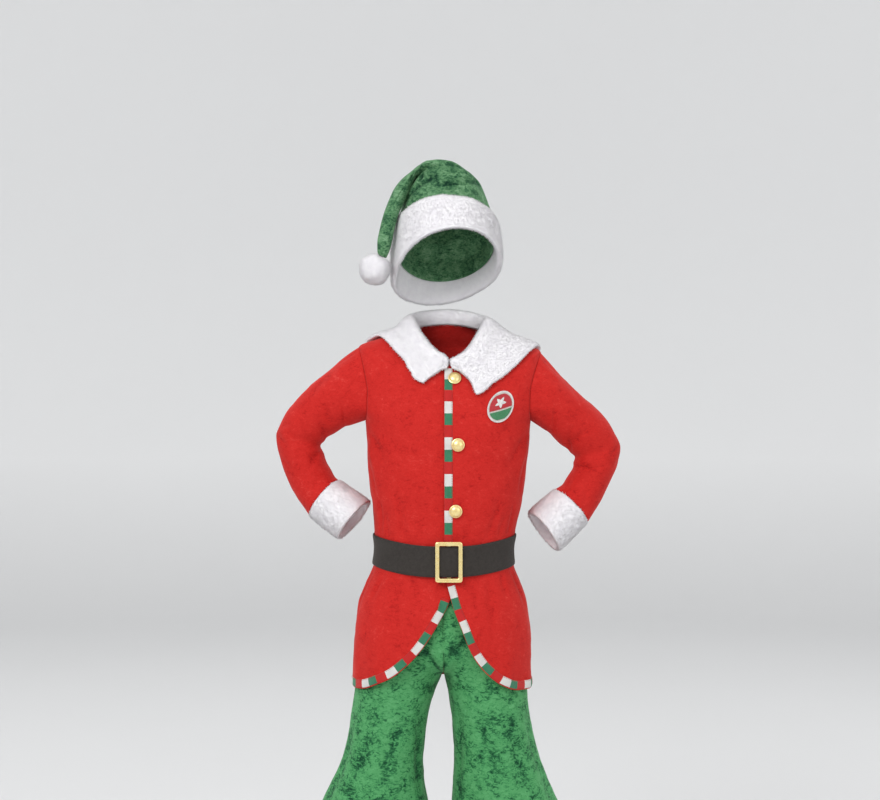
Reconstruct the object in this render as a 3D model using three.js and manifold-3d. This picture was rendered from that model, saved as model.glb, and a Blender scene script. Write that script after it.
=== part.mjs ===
// A child's elf costume in its worn, hollow form: pointed hat, jacket, belt, flared knee-length trousers and leg
// warmers.
// Millimetres, +Z up, -Y towards the front, +X towards the wearer's left. The origin is where the wearer's
// shoulders carry the jacket, at the middle of the neck opening.
import * as THREE from 'three';
import Module from 'manifold-3d';

const wasm = await Module();
wasm.setup();

// Driving sizes.
const VELVET = 2; // wall of the crushed velvet
const PLUSH = 6; // pile fabric of the collar and the sleeves' cuffs
const BAND_THICK = 8; // the hat's band, its pile fabric doubled
const KNIT = 2; // wall of the leg warmers
const SEAM = 0.3; // gap between pieces that are sewn together
const LIFT = 0.6; // clearance under a strip that lies on a curved panel
const HEM_LIFT = 1.3; // the same where the hem flutes
const BINDING_WIDTH = 12;
const BINDING_THICK = 1;
const BELT_THICK = 2.5;
const BELT_TOP = -299; // levels of the belt's two edges at the wearer's sides
const BELT_FOOT = -345;
const NECK_LEVEL = 17;
const SHOULDER_LEVEL = -14;
const UNDERARM_LEVEL = -124;
const HEM_LEVEL = -532;
const SPLIT_LEVEL = -353; // below the belt the fronts swing apart from here
const OVERLAP_EDGE = -4; // x of the upper front's edge
const UNDERLAP_EDGE = 20; // x of the lower front's edge, under the upper one
const BUTTON_RADIUS = 10;
const POMPOM_RADIUS = 25;

const RED = 0xc8281f;
const GREEN = 0x2f7a45;
const WHITE = 0xeeeaee;
const STRIPE = 0xd9dcd4;
const BLACK = 0x2b2826;
const GOLD = 0xd9b765;

const material = (color, roughness = 0.8, metalness = 0) =>
  new THREE.MeshStandardMaterial({ color, roughness, metalness });
const redVelvet = material(RED);
const greenVelvet = material(GREEN, 0.7);
const plush = material(WHITE, 0.95);
const stripedCloth = material(STRIPE, 0.85);
const beltFelt = material(BLACK, 0.75);
const goldPlastic = material(GOLD, 0.3, 0.8);
const patchCloth = material(WHITE, 0.8);

const costume = new THREE.Group();
const degrees = THREE.MathUtils.degToRad;
const mix = THREE.MathUtils.lerp;
const smooth = THREE.MathUtils.smoothstep;
const range = (count) => Array.from({ length: count }, (_, i) => i);
const steps = (from, to, count) => range(count + 1).map((i) => mix(from, to, i / count));

// A table has named columns and a row for each section, in rising order of its first column.
function table(columns, rows) {
  return rows.map((row) => Object.fromEntries(columns.map((name, i) => [name, row[i]])));
}

// Reads one row between a table's rows, on smooth curves that don't overshoot.
function readTable(rows, at) {
  const columns = Object.keys(rows[0]);
  const key = columns[0];
  const place = THREE.MathUtils.clamp(at, rows[0][key], rows[rows.length - 1][key]);
  let i = 0;
  while (i < rows.length - 2 && place > rows[i + 1][key]) i += 1;
  const width = rows[i + 1][key] - rows[i][key];
  const t = (place - rows[i][key]) / width;
  const rate = (k, column) =>
    (rows[k + 1][column] - rows[k][column]) / (rows[k + 1][key] - rows[k][key]);
  const slope = (k, column) => {
    if (k === 0) return rate(0, column);
    if (k === rows.length - 1) return rate(k - 1, column);
    const before = rate(k - 1, column);
    const after = rate(k, column);
    return before * after > 0 ? (2 * before * after) / (before + after) : 0;
  };
  const blend = (column) => {
    const p0 = rows[i][column];
    const p1 = rows[i + 1][column];
    const m0 = slope(i, column) * width;
    const m1 = slope(i + 1, column) * width;
    const c = 3 * (p1 - p0) - 2 * m0 - m1;
    return p0 + t * (m0 + t * (c + t * (m0 + m1 - 2 * (p1 - p0))));
  };
  return Object.fromEntries(columns.map((name) => [name, name === key ? place : blend(name)]));
}

const signedPower = (value, power) => Math.sign(value) * Math.abs(value) ** power;

// The closed triangle mesh through loops of points: each loop runs round the wall's own section.
function loopsGeometry(loops, closed) {
  const size = loops[0].length;
  const positions = loops.flat().flatMap((p) => [p.x, p.y, p.z]);
  const faces = [];
  const quad = (a, b, c, d) => faces.push(a, b, c, a, c, d);
  const last = closed ? loops.length : loops.length - 1;
  for (let j = 0; j < last; j += 1) {
    const here = j * size;
    const next = ((j + 1) % loops.length) * size;
    for (let i = 0; i < size; i += 1) {
      const after = (i + 1) % size;
      quad(here + i, next + i, next + after, here + after);
    }
  }
  if (!closed) {
    const end = (loops.length - 1) * size;
    for (let i = 0; i < size / 2 - 1; i += 1) {
      quad(i, i + 1, size - 2 - i, size - 1 - i);
      quad(end + size - 1 - i, end + size - 2 - i, end + i + 1, end + i);
    }
  }
  const geometry = new THREE.BufferGeometry();
  geometry.setAttribute('position', new THREE.Float32BufferAttribute(positions, 3));
  geometry.setIndex(faces);
  return facingOut(geometry);
}

// Turns the faces round if the mesh's signed volume is negative.
function facingOut(geometry) {
  const position = geometry.getAttribute('position');
  const index = geometry.index.array;
  const [a, b, c] = [new THREE.Vector3(), new THREE.Vector3(), new THREE.Vector3()];
  let volume = 0;
  for (let i = 0; i < index.length; i += 3) {
    a.fromBufferAttribute(position, index[i]);
    b.fromBufferAttribute(position, index[i + 1]);
    c.fromBufferAttribute(position, index[i + 2]);
    volume += a.dot(b.cross(c));
  }
  if (volume < 0) {
    for (let i = 0; i < index.length; i += 3) [index[i + 1], index[i + 2]] = [index[i + 2], index[i + 1]];
  }
  return geometry;
}

function add(name, geometry, finish) {
  const mesh = new THREE.Mesh(geometry, finish);
  mesh.name = name;
  costume.add(mesh);
  return mesh;
}

// Outward normals of a grid of points, columns[j][i], with j running round the wearer.
function gridNormals(columns, closed, inside) {
  const count = columns.length;
  const at = (j, i) => {
    const column = closed ? (j + count) % count : THREE.MathUtils.clamp(j, 0, count - 1);
    return columns[column][THREE.MathUtils.clamp(i, 0, columns[0].length - 1)];
  };
  return columns.map((column, j) =>
    column.map((point, i) => {
      const round = at(j + 1, i).clone().sub(at(j - 1, i));
      const along = at(j, i + 1).clone().sub(at(j, i - 1));
      const normal = round.cross(along).normalize();
      return normal.dot(point.clone().sub(inside(i))) < 0 ? normal.negate() : normal;
    }),
  );
}

// A cloth wall: the points are its outer face, and the inner face lies a wall's thickness inside.
function wallLoops(columns, normals, thick) {
  return columns.map((column, j) => [
    ...column,
    ...column.map((p, i) => p.clone().addScaledVector(normals[j][i], -thick)).reverse(),
  ]);
}

// A tube's wall from rings of points, with its ends open.
function tubeWall(name, rings, thick, finish, startNormal) {
  const columns = rings[0].map((_, j) => rings.map((ring) => ring[j]));
  const centres = rings.map((ring) =>
    ring.reduce((sum, p) => sum.add(p), new THREE.Vector3()).divideScalar(ring.length),
  );
  const normals = gridNormals(columns, true, (i) => centres[i]);
  if (startNormal) normals.forEach((column) => startNormal(column[0]));
  return add(name, loopsGeometry(wallLoops(columns, normals, thick), true), finish);
}

// A ring of thick pile fabric between two open rings of points, with its outer face and both edges rounded.
const PILE_PROFILE = table(
  ['along', 'proud'], // share of the ring's width, and how far the face stands out as a share of its thickness
  [
    [0, -0.35],
    [0.07, -0.08],
    [0.25, 0.12],
    [0.5, 0.2],
    [0.75, 0.12],
    [0.93, -0.08],
    [1, -0.35],
    [1, -0.8],
    [0.9, -1],
    [0.5, -1],
    [0.1, -1],
    [0, -0.8],
  ],
);
function pileRing(name, first, second, thick) {
  const centre = (ring) =>
    ring.reduce((sum, p) => sum.add(p), new THREE.Vector3()).divideScalar(ring.length);
  const axis = centre(second).sub(centre(first)).normalize();
  const middle = centre(first);
  const loops = first.map((p, j) => {
    const out = p.clone().sub(middle);
    out.addScaledVector(axis, -out.dot(axis)).normalize();
    return PILE_PROFILE.map(({ along, proud }) =>
      p.clone().lerp(second[j], along).addScaledVector(out, proud * thick),
    );
  });
  return add(name, loopsGeometry(loops, true), plush);
}

// The jacket's body. A ring's level is its height at the wearer's sides; its centre front lies lower by drop and its
// centre back higher by rise. Half is half its width, front and back its reach each way, shift its middle's x.
const TORSO = table(
  ['level', 'half', 'front', 'back', 'power', 'shift', 'drop', 'rise'],
  [
    [-560, 137, 111, 107, 2.2, -8, 0, 0],
    [-488, 137.5, 109, 104, 2.2, -7.5, 0, 0],
    [-450, 136, 106, 101, 2.2, -6.5, 3, 2],
    [-403, 130, 101, 95, 2.2, -6.5, 8, 4],
    [-372, 119, 93, 86, 2.2, -6, 11, 5],
    [-344, 107.5, 88.5, 78, 2.2, -5, 12, 5],
    [-320, 105.4, 87.5, 75, 2.2, -4.3, 12, 5],
    [-297, 108.5, 89, 77, 2.2, -3.5, 12, 5],
    [-250, 116, 94, 81, 2.3, 0, 8, 3],
    [-200, 122, 97, 85, 2.3, 0, 7, 0],
    [-150, 126, 97, 88, 2.3, 1.8, 16, 0],
    [-124, 128, 96, 89, 2.3, 1.8, 24, 0],
    [-98, 137, 93.5, 90, 2.3, 1.8, 33, 0],
    [-69, 141, 89, 88, 2.3, 2.5, 42, 0],
    [-40, 143, 82, 84, 2.3, 3, 49, 0],
    [-14, 140, 73, 78, 2.3, 4, 54, 2],
    [2, 100, 65, 68, 2.2, 4, 55, 5],
    [17, 56, 58, 58, 2, 3, 54, 8],
  ],
);

// How far from the rings' middles the armholes cut them, on either side.
const ARMHOLE = table(
  ['level', 'reach'],
  [
    [-124, 128],
    [-98, 124.5],
    [-69, 124.5],
    [-40, 130.5],
    [-14, 140],
  ],
);

// The jacket's soft upright folds below the belt: where they stand, how wide, how proud, in degrees and millimetres.
const SKIRT_FOLDS = table(
  ['around', 'width', 'proud'],
  [
    [18, 9, 3],
    [47, 8, 2.5],
    [132, 9, 3],
    [160, 8, 2.5],
    [205, 9, 4],
    [240, 10, 4.5],
    [278, 10, 4],
    [318, 10, 4.5],
    [345, 8, 3],
  ],
);

function foldsAt(folds, around) {
  return folds.reduce((sum, fold) => {
    const away = ((around - fold.around + 540) % 360) - 180;
    return sum + fold.proud * Math.exp(-((away / fold.width) ** 2));
  }, 0);
}

// A point of the jacket's body. Theta is 0 at the wearer's left side, 90 at the centre front, 180 at the right side.
function torsoBase(theta, level) {
  const ring = readTable(TORSO, level);
  const across = Math.cos(degrees(theta));
  const deep = Math.sin(degrees(theta));
  const x = ring.shift + ring.half * signedPower(across, 2 / ring.power);
  const reach = deep > 0 ? -ring.front : ring.back;
  const y = reach * Math.abs(deep) ** (2 / ring.power);
  const bend = (deep > 0 ? -ring.drop : ring.rise) * deep * deep;
  const lean = 0.03 * smooth(level, UNDERARM_LEVEL, 0);
  const swing = foldsAt(SKIRT_FOLDS, theta) * smooth(-level, -BELT_FOOT + 12, -HEM_LEVEL);
  const spread = 1 + swing / Math.hypot(x - ring.shift, y);
  return new THREE.Vector3(ring.shift + (x - ring.shift) * spread, y * spread, level + bend - lean * x);
}

function torsoNormal(theta, level) {
  const round = torsoBase(theta + 1, level).sub(torsoBase(theta - 1, level));
  const up = torsoBase(theta, level + 1).sub(torsoBase(theta, level - 1));
  return up.cross(round).normalize();
}

function torso(theta, level, out = 0) {
  return torsoBase(theta, level).addScaledVector(torsoNormal(theta, level), out);
}

// The angle at which a ring of the body passes a given x, in front of the wearer (0 to 180).
function frontAngle(x, level) {
  const ring = readTable(TORSO, level);
  const share = THREE.MathUtils.clamp((x - ring.shift) / ring.half, -1, 1);
  return THREE.MathUtils.radToDeg(Math.acos(signedPower(share, ring.power / 2)));
}

// The fronts' curved hems, from the centre out to the side seams.
const HEM_LEFT = table(
  ['x', 'z'],
  [
    [-4, -354],
    [7.5, -369],
    [13.5, -388],
    [27, -428],
    [43.6, -463],
    [63.3, -492],
    [88, -516],
    [116, -531],
    [140, -532],
  ],
);
const HEM_RIGHT = table(
  ['x', 'z'],
  [
    [-160, -532],
    [-132, -529],
    [-106, -518],
    [-87, -502],
    [-69, -487],
    [-46.5, -460],
    [-33, -446],
    [-14.5, -414],
    [0, -391],
    [10, -373],
    [20, -354],
  ],
);
function hemLevel(hem, theta) {
  let level = HEM_LEVEL;
  for (let i = 0; i < 6; i += 1) {
    const point = torsoBase(theta, level);
    level = mix(level, level + readTable(hem, point.x).z - point.z, 0.8);
  }
  return level;
}

// Rows of the body's panels, from the split below the belt up to the neck. The armhole's rows are closer at its ends.
const ARMHOLE_STEPS = 9;
const armholeLevels = range(ARMHOLE_STEPS + 1).map((k) => {
  const turn = Math.cos((Math.PI * k) / ARMHOLE_STEPS);
  return (UNDERARM_LEVEL + SHOULDER_LEVEL) / 2 - ((SHOULDER_LEVEL - UNDERARM_LEVEL) / 2) * turn;
});
const waistLevels = [BELT_FOOT, (BELT_FOOT + BELT_TOP) / 2, BELT_TOP];
const bodyLevels = [SPLIT_LEVEL, ...waistLevels, -278, -245, -205, -163, ...armholeLevels, 2, NECK_LEVEL];
const SKIRT_ROWS = 7;

// The angle of a side edge at a level: the side or shoulder seam, or the armhole between them. Side is 1 or -1.
const inArmhole = (level) => level > UNDERARM_LEVEL + 0.01 && level < SHOULDER_LEVEL - 0.01;
function sideAngle(level, side) {
  const ring = readTable(TORSO, level);
  const reach = inArmhole(level) ? readTable(ARMHOLE, level).reach : ring.half;
  const angle = frontAngle(ring.shift + side * reach, level);
  const gap = THREE.MathUtils.radToDeg(SEAM / 2 / ring.half);
  return inArmhole(level) ? angle : angle + side * gap;
}

// At a seam the wall's edge stands square to it, so that neighbouring walls keep their gap right through.
function squareEdge(normals, levels) {
  levels.forEach((level, i) => {
    if (inArmhole(level)) normals[i].setX(0).normalize();
    else normals[i].setY(0).normalize();
  });
}

// The lower front sinks below the upper one where they lap, with room for its own binding under the belt.
function lapSink(x, level) {
  const below = smooth(-level, -BELT_TOP, -SPLIT_LEVEL);
  const depth = VELVET + 2 * SEAM + below * (BINDING_THICK + 2 * SEAM);
  return -depth * smooth(x, OVERLAP_EDGE - 14, OVERLAP_EDGE - 1);
}

// A front's columns: the first few follow the front edge at set distances, the others spread out to its side.
const FRONT_COLUMNS = 7;
function frontPanel(name, side, edges, hem) {
  const spreads = range(FRONT_COLUMNS + 1).slice(1);
  const angles = [
    ...edges.map((x) => (level) => frontAngle(x, level)),
    ...spreads.map((j) => (level) =>
      mix(frontAngle(edges[edges.length - 1], level), sideAngle(level, side), j / FRONT_COLUMNS),
    ),
  ];
  const place = (theta, level) => {
    const point = torso(theta, level);
    return side < 0 ? torso(theta, level, lapSink(point.x, level)) : point;
  };
  const columns = angles.map((angleAt) => {
    const low = angleAt(SPLIT_LEVEL);
    const foot = hemLevel(hem, low);
    const skirt = range(SKIRT_ROWS).map((i) => place(low, mix(foot, SPLIT_LEVEL, i / SKIRT_ROWS)));
    return [...skirt, ...bodyLevels.map((level) => place(angleAt(level), level))];
  });
  const normals = gridNormals(columns, false, () => new THREE.Vector3(0, 0, -300));
  squareEdge(normals[normals.length - 1], [...range(SKIRT_ROWS).map(() => HEM_LEVEL), ...bodyLevels]);
  return add(name, loopsGeometry(wallLoops(columns, normals, VELVET), false), redVelvet);
}

const BACK_COLUMNS = 14;
function backPanel() {
  const skirtLevels = range(SKIRT_ROWS).map((i) => mix(HEM_LEVEL, SPLIT_LEVEL, i / SKIRT_ROWS));
  const levels = [...skirtLevels, ...bodyLevels];
  const columns = range(BACK_COLUMNS + 1).map((j) =>
    levels.map((level) => {
      const from = 360 - sideAngle(level, -1);
      const to = 360 - sideAngle(level, 1);
      return torso(mix(from, to, j / BACK_COLUMNS), level);
    }),
  );
  const normals = gridNormals(columns, false, () => new THREE.Vector3(0, 0, -300));
  [normals[0], normals[BACK_COLUMNS]].forEach((edge) => squareEdge(edge, levels));
  return add('jacket_back', loopsGeometry(wallLoops(columns, normals, VELVET), false), redVelvet);
}

// The striped binding: a strip along an edge of the body's front, moved out from the panel's own points.
function bindingStrip(name, path, sink = () => 0) {
  const loops = path.map(({ edge, inner, lift }) => {
    const row = [0, 0.5, 1].map((t) => ({ theta: mix(edge[0], inner[0], t), level: mix(edge[1], inner[1], t) }));
    const raise = (out) =>
      row.map(({ theta, level }) => torso(theta, level, out + sink(torsoBase(theta, level).x, level)));
    return [...raise(lift + BINDING_THICK), ...raise(lift).reverse()];
  });
  return add(name, loopsGeometry(loops, false), stripedCloth);
}

// Stations along a hem, each with its edge point and the point a binding's width inside it, as angle and level.
function hemStations(hem, angles) {
  return angles.map((theta) => {
    const at = (angle) => [angle, hemLevel(hem, angle) + 1];
    const here = at(theta);
    const before = torsoBase(...at(theta - 1));
    const after = torsoBase(...at(theta + 1));
    const along = after.sub(before).normalize();
    const normal = torsoNormal(...here);
    const inward = along.cross(normal).normalize();
    if (inward.z < 0) inward.negate();
    const degree = torsoBase(theta + 1, here[1]).distanceTo(torsoBase(theta, here[1]));
    const round = torsoBase(theta + 1, here[1]).sub(torsoBase(theta, here[1])).normalize();
    const step = (BINDING_WIDTH * inward.dot(round)) / degree;
    return { edge: here, inner: [theta + step, here[1] + BINDING_WIDTH * inward.z], lift: HEM_LIFT };
  });
}

function jacketBindings() {
  const placket = [NECK_LEVEL - 1, ...bodyLevels.slice(1, -1).reverse()].map((level) => ({
    edge: [frontAngle(OVERLAP_EDGE, level), level],
    inner: [frontAngle(OVERLAP_EDGE + BINDING_WIDTH, level), level],
    lift: LIFT,
  }));
  const leftHem = hemStations(HEM_LEFT, [88, 84, 79, 73, 66, 58, 49, 40, 31, 21, 11, 2]);
  bindingStrip('jacket_binding_left', [...placket, ...leftHem]);
  bindingStrip(
    'jacket_binding_right',
    hemStations(HEM_RIGHT, [90, 93, 97, 102, 108, 115, 123, 131, 140, 150, 160, 169, 178]),
    lapSink,
  );
  const backHem = steps(182, 358, 22).map((theta) => ({
    edge: [theta, HEM_LEVEL + 1],
    inner: [theta, HEM_LEVEL + 1 + BINDING_WIDTH],
    lift: HEM_LIFT,
  }));
  bindingStrip('jacket_binding_back', backHem);
}

// The sleeves' sections from shoulder to wrist, each by its two outline points in the front view, its middle's y and
// its depth. The first row lies just outside the armhole.
const SLEEVE_COLUMNS = ['step', 'outerX', 'outerZ', 'innerX', 'innerZ', 'y', 'depth'];
const SLEEVE_RIGHT = table(SLEEVE_COLUMNS, [
  [1, -157, -24, -141, -129, 0, 98],
  [2, -178, -43, -153, -133, 2, 90],
  [3, -203, -63, -163, -137, 6, 84],
  [4, -229, -88, -176, -145, 12, 80],
  [5, -252, -117, -189, -154, 18, 77],
  [6, -266, -150, -196, -164, 24, 75],
  [7, -261, -181, -191, -180, 25, 74],
  [8, -250, -212, -182, -198, 25, 73],
  [9, -235, -243, -175, -212, 23, 72],
  [10, -214, -272, -169, -217, 20, 71],
]);
const SLEEVE_LEFT = table(SLEEVE_COLUMNS, [
  [1, 162, -40, 143, -133, 0, 98],
  [2, 181, -60, 154, -141, 2, 90],
  [3, 205, -83, 164, -150, 6, 84],
  [4, 231, -106, 176, -161, 12, 80],
  [5, 254, -133, 190, -172, 18, 77],
  [6, 270, -167, 199, -182, 24, 75],
  [7, 266, -193, 198, -194, 25, 74],
  [8, 254, -219, 190, -209, 25, 73],
  [9, 240, -249, 180, -225, 23, 72],
  [10, 218, -283, 168, -232, 20, 71],
]);
// Where each plush cuff ends.
const CUFF_END_RIGHT = { outerX: -167, outerZ: -308, innerX: -121, innerZ: -250, y: 12, depth: 77 };
const CUFF_END_LEFT = { outerX: 172.5, outerZ: -327, innerX: 128, innerZ: -267, y: 12, depth: 77 };

// Creases across the bent elbow and the upper arm: step along the sleeve, angle round it, and their size.
const SLEEVE_FOLDS = table(
  ['step', 'around', 'length', 'width', 'proud'],
  [
    [2.4, 200, 0.5, 45, -4],
    [4.6, 170, 0.45, 50, -5],
    [5.4, 185, 0.35, 60, 4],
    [6.1, 180, 0.3, 55, -6],
    [6.8, 175, 0.35, 60, 4],
    [7.6, 190, 0.4, 45, -4],
    [5.8, 90, 0.5, 35, -3],
  ],
);
function sleeveFold(step, around) {
  return SLEEVE_FOLDS.reduce((sum, fold) => {
    const away = ((around - fold.around + 540) % 360) - 180;
    return sum + fold.proud * Math.exp(-(((step - fold.step) / fold.length) ** 2) - (away / fold.width) ** 2);
  }, 0);
}

// One section ring: angle 0 at its outer outline point, 90 at the front, 180 at its inner outline point.
const RING_COUNT = 2 * ARMHOLE_STEPS;
function sectionRing(row, count = RING_COUNT, grow = () => 0, pitch = 0) {
  const outer = new THREE.Vector3(row.outerX, row.y, row.outerZ);
  const inner = new THREE.Vector3(row.innerX, row.y, row.innerZ);
  const middle = outer.clone().add(inner).divideScalar(2);
  const wide = outer.clone().sub(inner).divideScalar(2);
  const deep = new THREE.Vector3(0, -Math.cos(degrees(pitch)), Math.sin(degrees(pitch)));
  return range(count).map((k) => {
    const around = (360 * k) / count;
    const out = wide.clone().multiplyScalar(Math.cos(degrees(around)));
    out.addScaledVector(deep, (row.depth / 2) * Math.sin(degrees(around)));
    out.setLength(out.length() + grow(around));
    return middle.clone().add(out);
  });
}

function sleeve(name, sleeveRows, side) {
  const edge = (k) => {
    const front = k <= ARMHOLE_STEPS;
    const level = armholeLevels[front ? ARMHOLE_STEPS - k : k - ARMHOLE_STEPS];
    const angle = sideAngle(level, side);
    const point = torso(front ? angle : 360 - angle, level);
    point.x += side * SEAM;
    return point;
  };
  const stepsAlong = [1, 2, 2.6, 3.3, 4.1, 4.7, 5.2, 5.7, 6.1, 6.5, 6.9, 7.4, 7.9, 8.8, 10];
  const rings = stepsAlong.map((step) =>
    sectionRing(readTable(sleeveRows, step), RING_COUNT, (around) => sleeveFold(step, around)),
  );
  // The armhole's own plane stands upright, so its wall is set in that plane, clear of the body's panels.
  const upright = (normal) => normal.setX(0).normalize();
  return tubeWall(name, [range(RING_COUNT).map(edge), ...rings], VELVET, redVelvet, upright);
}

function cuff(name, sleeveRows, end) {
  const start = sectionRing(sleeveRows[sleeveRows.length - 1]);
  const finish = sectionRing(end);
  const first = start.map((p, j) => p.clone().lerp(finish[j], 0.012));
  return pileRing(name, first, finish, PLUSH);
}

// The collar: where each of its ribs leaves the neck, where it ends on the body, and how tall it stands.
const COLLAR = table(
  ['around', 'edgeAround', 'edgeLevel', 'stand'],
  [
    [91, 103, -14, 9],
    [110, 114, -7, 11],
    [135, 131, 0, 13],
    [165, 157, 1, 15],
    [182, 178, -1, 16],
    [205, 203, -10, 18],
    [238, 238, -30, 20],
    [270, 270, -42, 21],
    [302, 302, -32, 20],
    [335, 337, -16, 18],
    [358, 362, -9, 16],
    [375, 385, -8, 15],
    [405, 409, -11, 13],
    [430, 426, -20, 11],
    [449, 434, -33, 9],
  ],
);
const COLLAR_RIBS = 32;
function collar() {
  const loops = steps(91, 449, COLLAR_RIBS).map((around) => {
    const rib = readTable(COLLAR, around);
    const foot = torsoBase(around, NECK_LEVEL);
    const out = new THREE.Vector3(foot.x - 3, foot.y, 0).normalize();
    const raise = (height, away) => foot.clone().addScaledVector(out, away).setZ(foot.z + height);
    const fall = (t) =>
      torso(mix(around, rib.edgeAround, t), mix(NECK_LEVEL, rib.edgeLevel, t), LIFT + PLUSH / 2 + 2.1);
    const spine = new THREE.CatmullRomCurve3(
      [raise(SEAM + 1, -1), raise(rib.stand * 0.6, -2), raise(rib.stand, 2), raise(rib.stand * 0.9, 8), fall(0.45), fall(0.75), fall(1)],
      false,
      'centripetal',
    );
    const points = spine.getPoints(8);
    const faces = points.map((p, i) => {
      const along = spine.getTangent(i / 8);
      const side = torsoBase(around + 1, NECK_LEVEL).sub(torsoBase(around - 1, NECK_LEVEL)).normalize();
      const normal = side.cross(along).normalize();
      const half = (PLUSH / 2) * (i === 8 ? 0.6 : 1);
      return [p.clone().addScaledVector(normal, half), p.clone().addScaledVector(normal, -half)];
    });
    return [...faces.map((f) => f[0]), ...faces.map((f) => f[1]).reverse()];
  });
  return add('jacket_collar', loopsGeometry(loops, false), plush);
}

// A dome button, turned on its axis and laid on the body at an angle and level.
function button(name, x, level) {
  const profile = [
    [0, 0],
    [BUTTON_RADIUS - 1.5, 0],
    [BUTTON_RADIUS, 1],
    [BUTTON_RADIUS, 1.8],
    [BUTTON_RADIUS - 1.2, 2.4],
    [BUTTON_RADIUS - 3, 4],
    [BUTTON_RADIUS - 6, 5.4],
    [0, 6],
  ].map(([radius, height]) => new THREE.Vector2(radius, height));
  const geometry = new THREE.LatheGeometry(profile, 18);
  const theta = frontAngle(x, level);
  const seat = LIFT + BINDING_THICK + SEAM;
  const mesh = add(name, geometry, goldPlastic);
  mesh.quaternion.setFromUnitVectors(new THREE.Vector3(0, 1, 0), torsoNormal(theta, level));
  mesh.position.copy(torso(theta, level, seat));
  return mesh;
}

// The sewn-on patch at the wearer's left breast: a plain oval.
function patch() {
  const centre = { x: 80, level: -71 };
  const half = { wide: 20, tall: 31 };
  const count = 20;
  const rings = [0.55, 1];
  const place = (turn, share, out) => {
    const level = centre.level + half.tall * share * Math.sin(turn);
    return torso(frontAngle(centre.x + half.wide * share * Math.cos(turn), level), level, out);
  };
  const centreAngle = frontAngle(centre.x, centre.level);
  const top = torso(centreAngle, centre.level, LIFT + 1.4);
  const foot = torso(centreAngle, centre.level, LIFT);
  const layer = (share, out) => range(count).map((k) => place((2 * Math.PI * k) / count, share, out));
  const hoops = [
    ...rings.map((share) => layer(share, LIFT + 1.4)),
    ...rings.map((share) => layer(share, LIFT)).reverse(),
  ];
  const points = [top, ...hoops.flat(), foot];
  const faces = [];
  range(count).forEach((k) => {
    const next = (k + 1) % count;
    faces.push(0, 1 + k, 1 + next);
    hoops.slice(1).forEach((_, h) => {
      const here = 1 + h * count;
      const below = here + count;
      faces.push(here + k, below + k, below + next, here + k, below + next, here + next);
    });
    const last = 1 + (hoops.length - 1) * count;
    faces.push(last + k, points.length - 1, last + next);
  });
  const geometry = new THREE.BufferGeometry();
  geometry.setAttribute('position', new THREE.Float32BufferAttribute(points.flatMap((p) => [p.x, p.y, p.z]), 3));
  geometry.setIndex(faces);
  return add('chest_patch', facingOut(geometry), patchCloth);
}

// The belt runs round the body's waist rings, stands off over the buckle's bar and laps over itself at the back.
const BELT_LAP = 24; // degrees of overlap at the centre back
const BUCKLE = { x: 2.5, z: -334, wide: 42, tall: 62, bar: 7.5, deep: 3.4, spine: 6, rod: 1.6 };
const BUCKLE_FRONT = 89.6; // the furthest reach of the body's rings behind the buckle
const BUCKLE_ROOM = LIFT + BINDING_THICK + 2 * SEAM + BUCKLE.rod + SEAM; // from there to the belt's inner face
function beltOut(turn, level) {
  const away = Math.abs(turn - 180) / 24;
  const near = 1 - smooth(away, 0.55, 1.7);
  const lap = smooth(turn, 360 - 10, 360) * (BELT_THICK + SEAM + 0.3);
  const room = BUCKLE_FRONT + BUCKLE_ROOM - readTable(TORSO, level).front;
  return mix(LIFT, room, near) + lap;
}
function belt() {
  const loops = steps(0, 360 + BELT_LAP, 54).map((turn) => {
    const face = (out) =>
      waistLevels.map((level) => torso((270 + turn) % 360, level, beltOut(turn, level) + out));
    return [...face(BELT_THICK), ...face(0).reverse()];
  });
  return add('belt', loopsGeometry(loops, false), beltFelt);
}

// The buckle: a flat frame in front of the belt and a rod behind it, joined beyond the belt's edges.
function buckle() {
  const outline = (shape, wide, tall) =>
    shape
      .moveTo(-wide / 2, -tall / 2)
      .lineTo(wide / 2, -tall / 2)
      .lineTo(wide / 2, tall / 2)
      .lineTo(-wide / 2, tall / 2)
      .closePath();
  const frame = outline(new THREE.Shape(), BUCKLE.wide, BUCKLE.tall);
  frame.holes.push(outline(new THREE.Path(), BUCKLE.wide - 2 * BUCKLE.bar, BUCKLE.tall - 2 * BUCKLE.bar));
  const bevel = 0.8;
  const frameGeometry = new THREE.ExtrudeGeometry(frame, {
    depth: BUCKLE.deep - 2 * bevel,
    bevelEnabled: true,
    bevelThickness: bevel,
    bevelSize: bevel,
    bevelOffset: -bevel,
    bevelSegments: 1,
  });
  frameGeometry.translate(0, 0, bevel);
  const behind = -(BELT_THICK + 3 * SEAM + 0.2);
  const rodTall = BUCKLE.tall - 6.6;
  const rod = new THREE.BoxGeometry(BUCKLE.spine, rodTall, BUCKLE.rod).translate(0, 0, behind - BUCKLE.rod / 2);
  const footDeep = BUCKLE.rod - behind + 1.5;
  const foot = new THREE.BoxGeometry(BUCKLE.spine, 4, footDeep);
  const feet = [1, -1].map((end) =>
    foot.clone().translate(0, (end * (rodTall - 4)) / 2, behind - BUCKLE.rod + footDeep / 2),
  );
  const joined = [rod, ...feet].reduce((sum, piece) => sum.add(solid(piece)), solid(frameGeometry));
  const mesh = add('belt_buckle', geometryOf(joined), goldPlastic);
  mesh.rotation.x = Math.PI / 2;
  mesh.position.set(BUCKLE.x, -(BUCKLE_FRONT + BUCKLE_ROOM + BELT_THICK + SEAM + 0.2), BUCKLE.z);
  return mesh;
}

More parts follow.
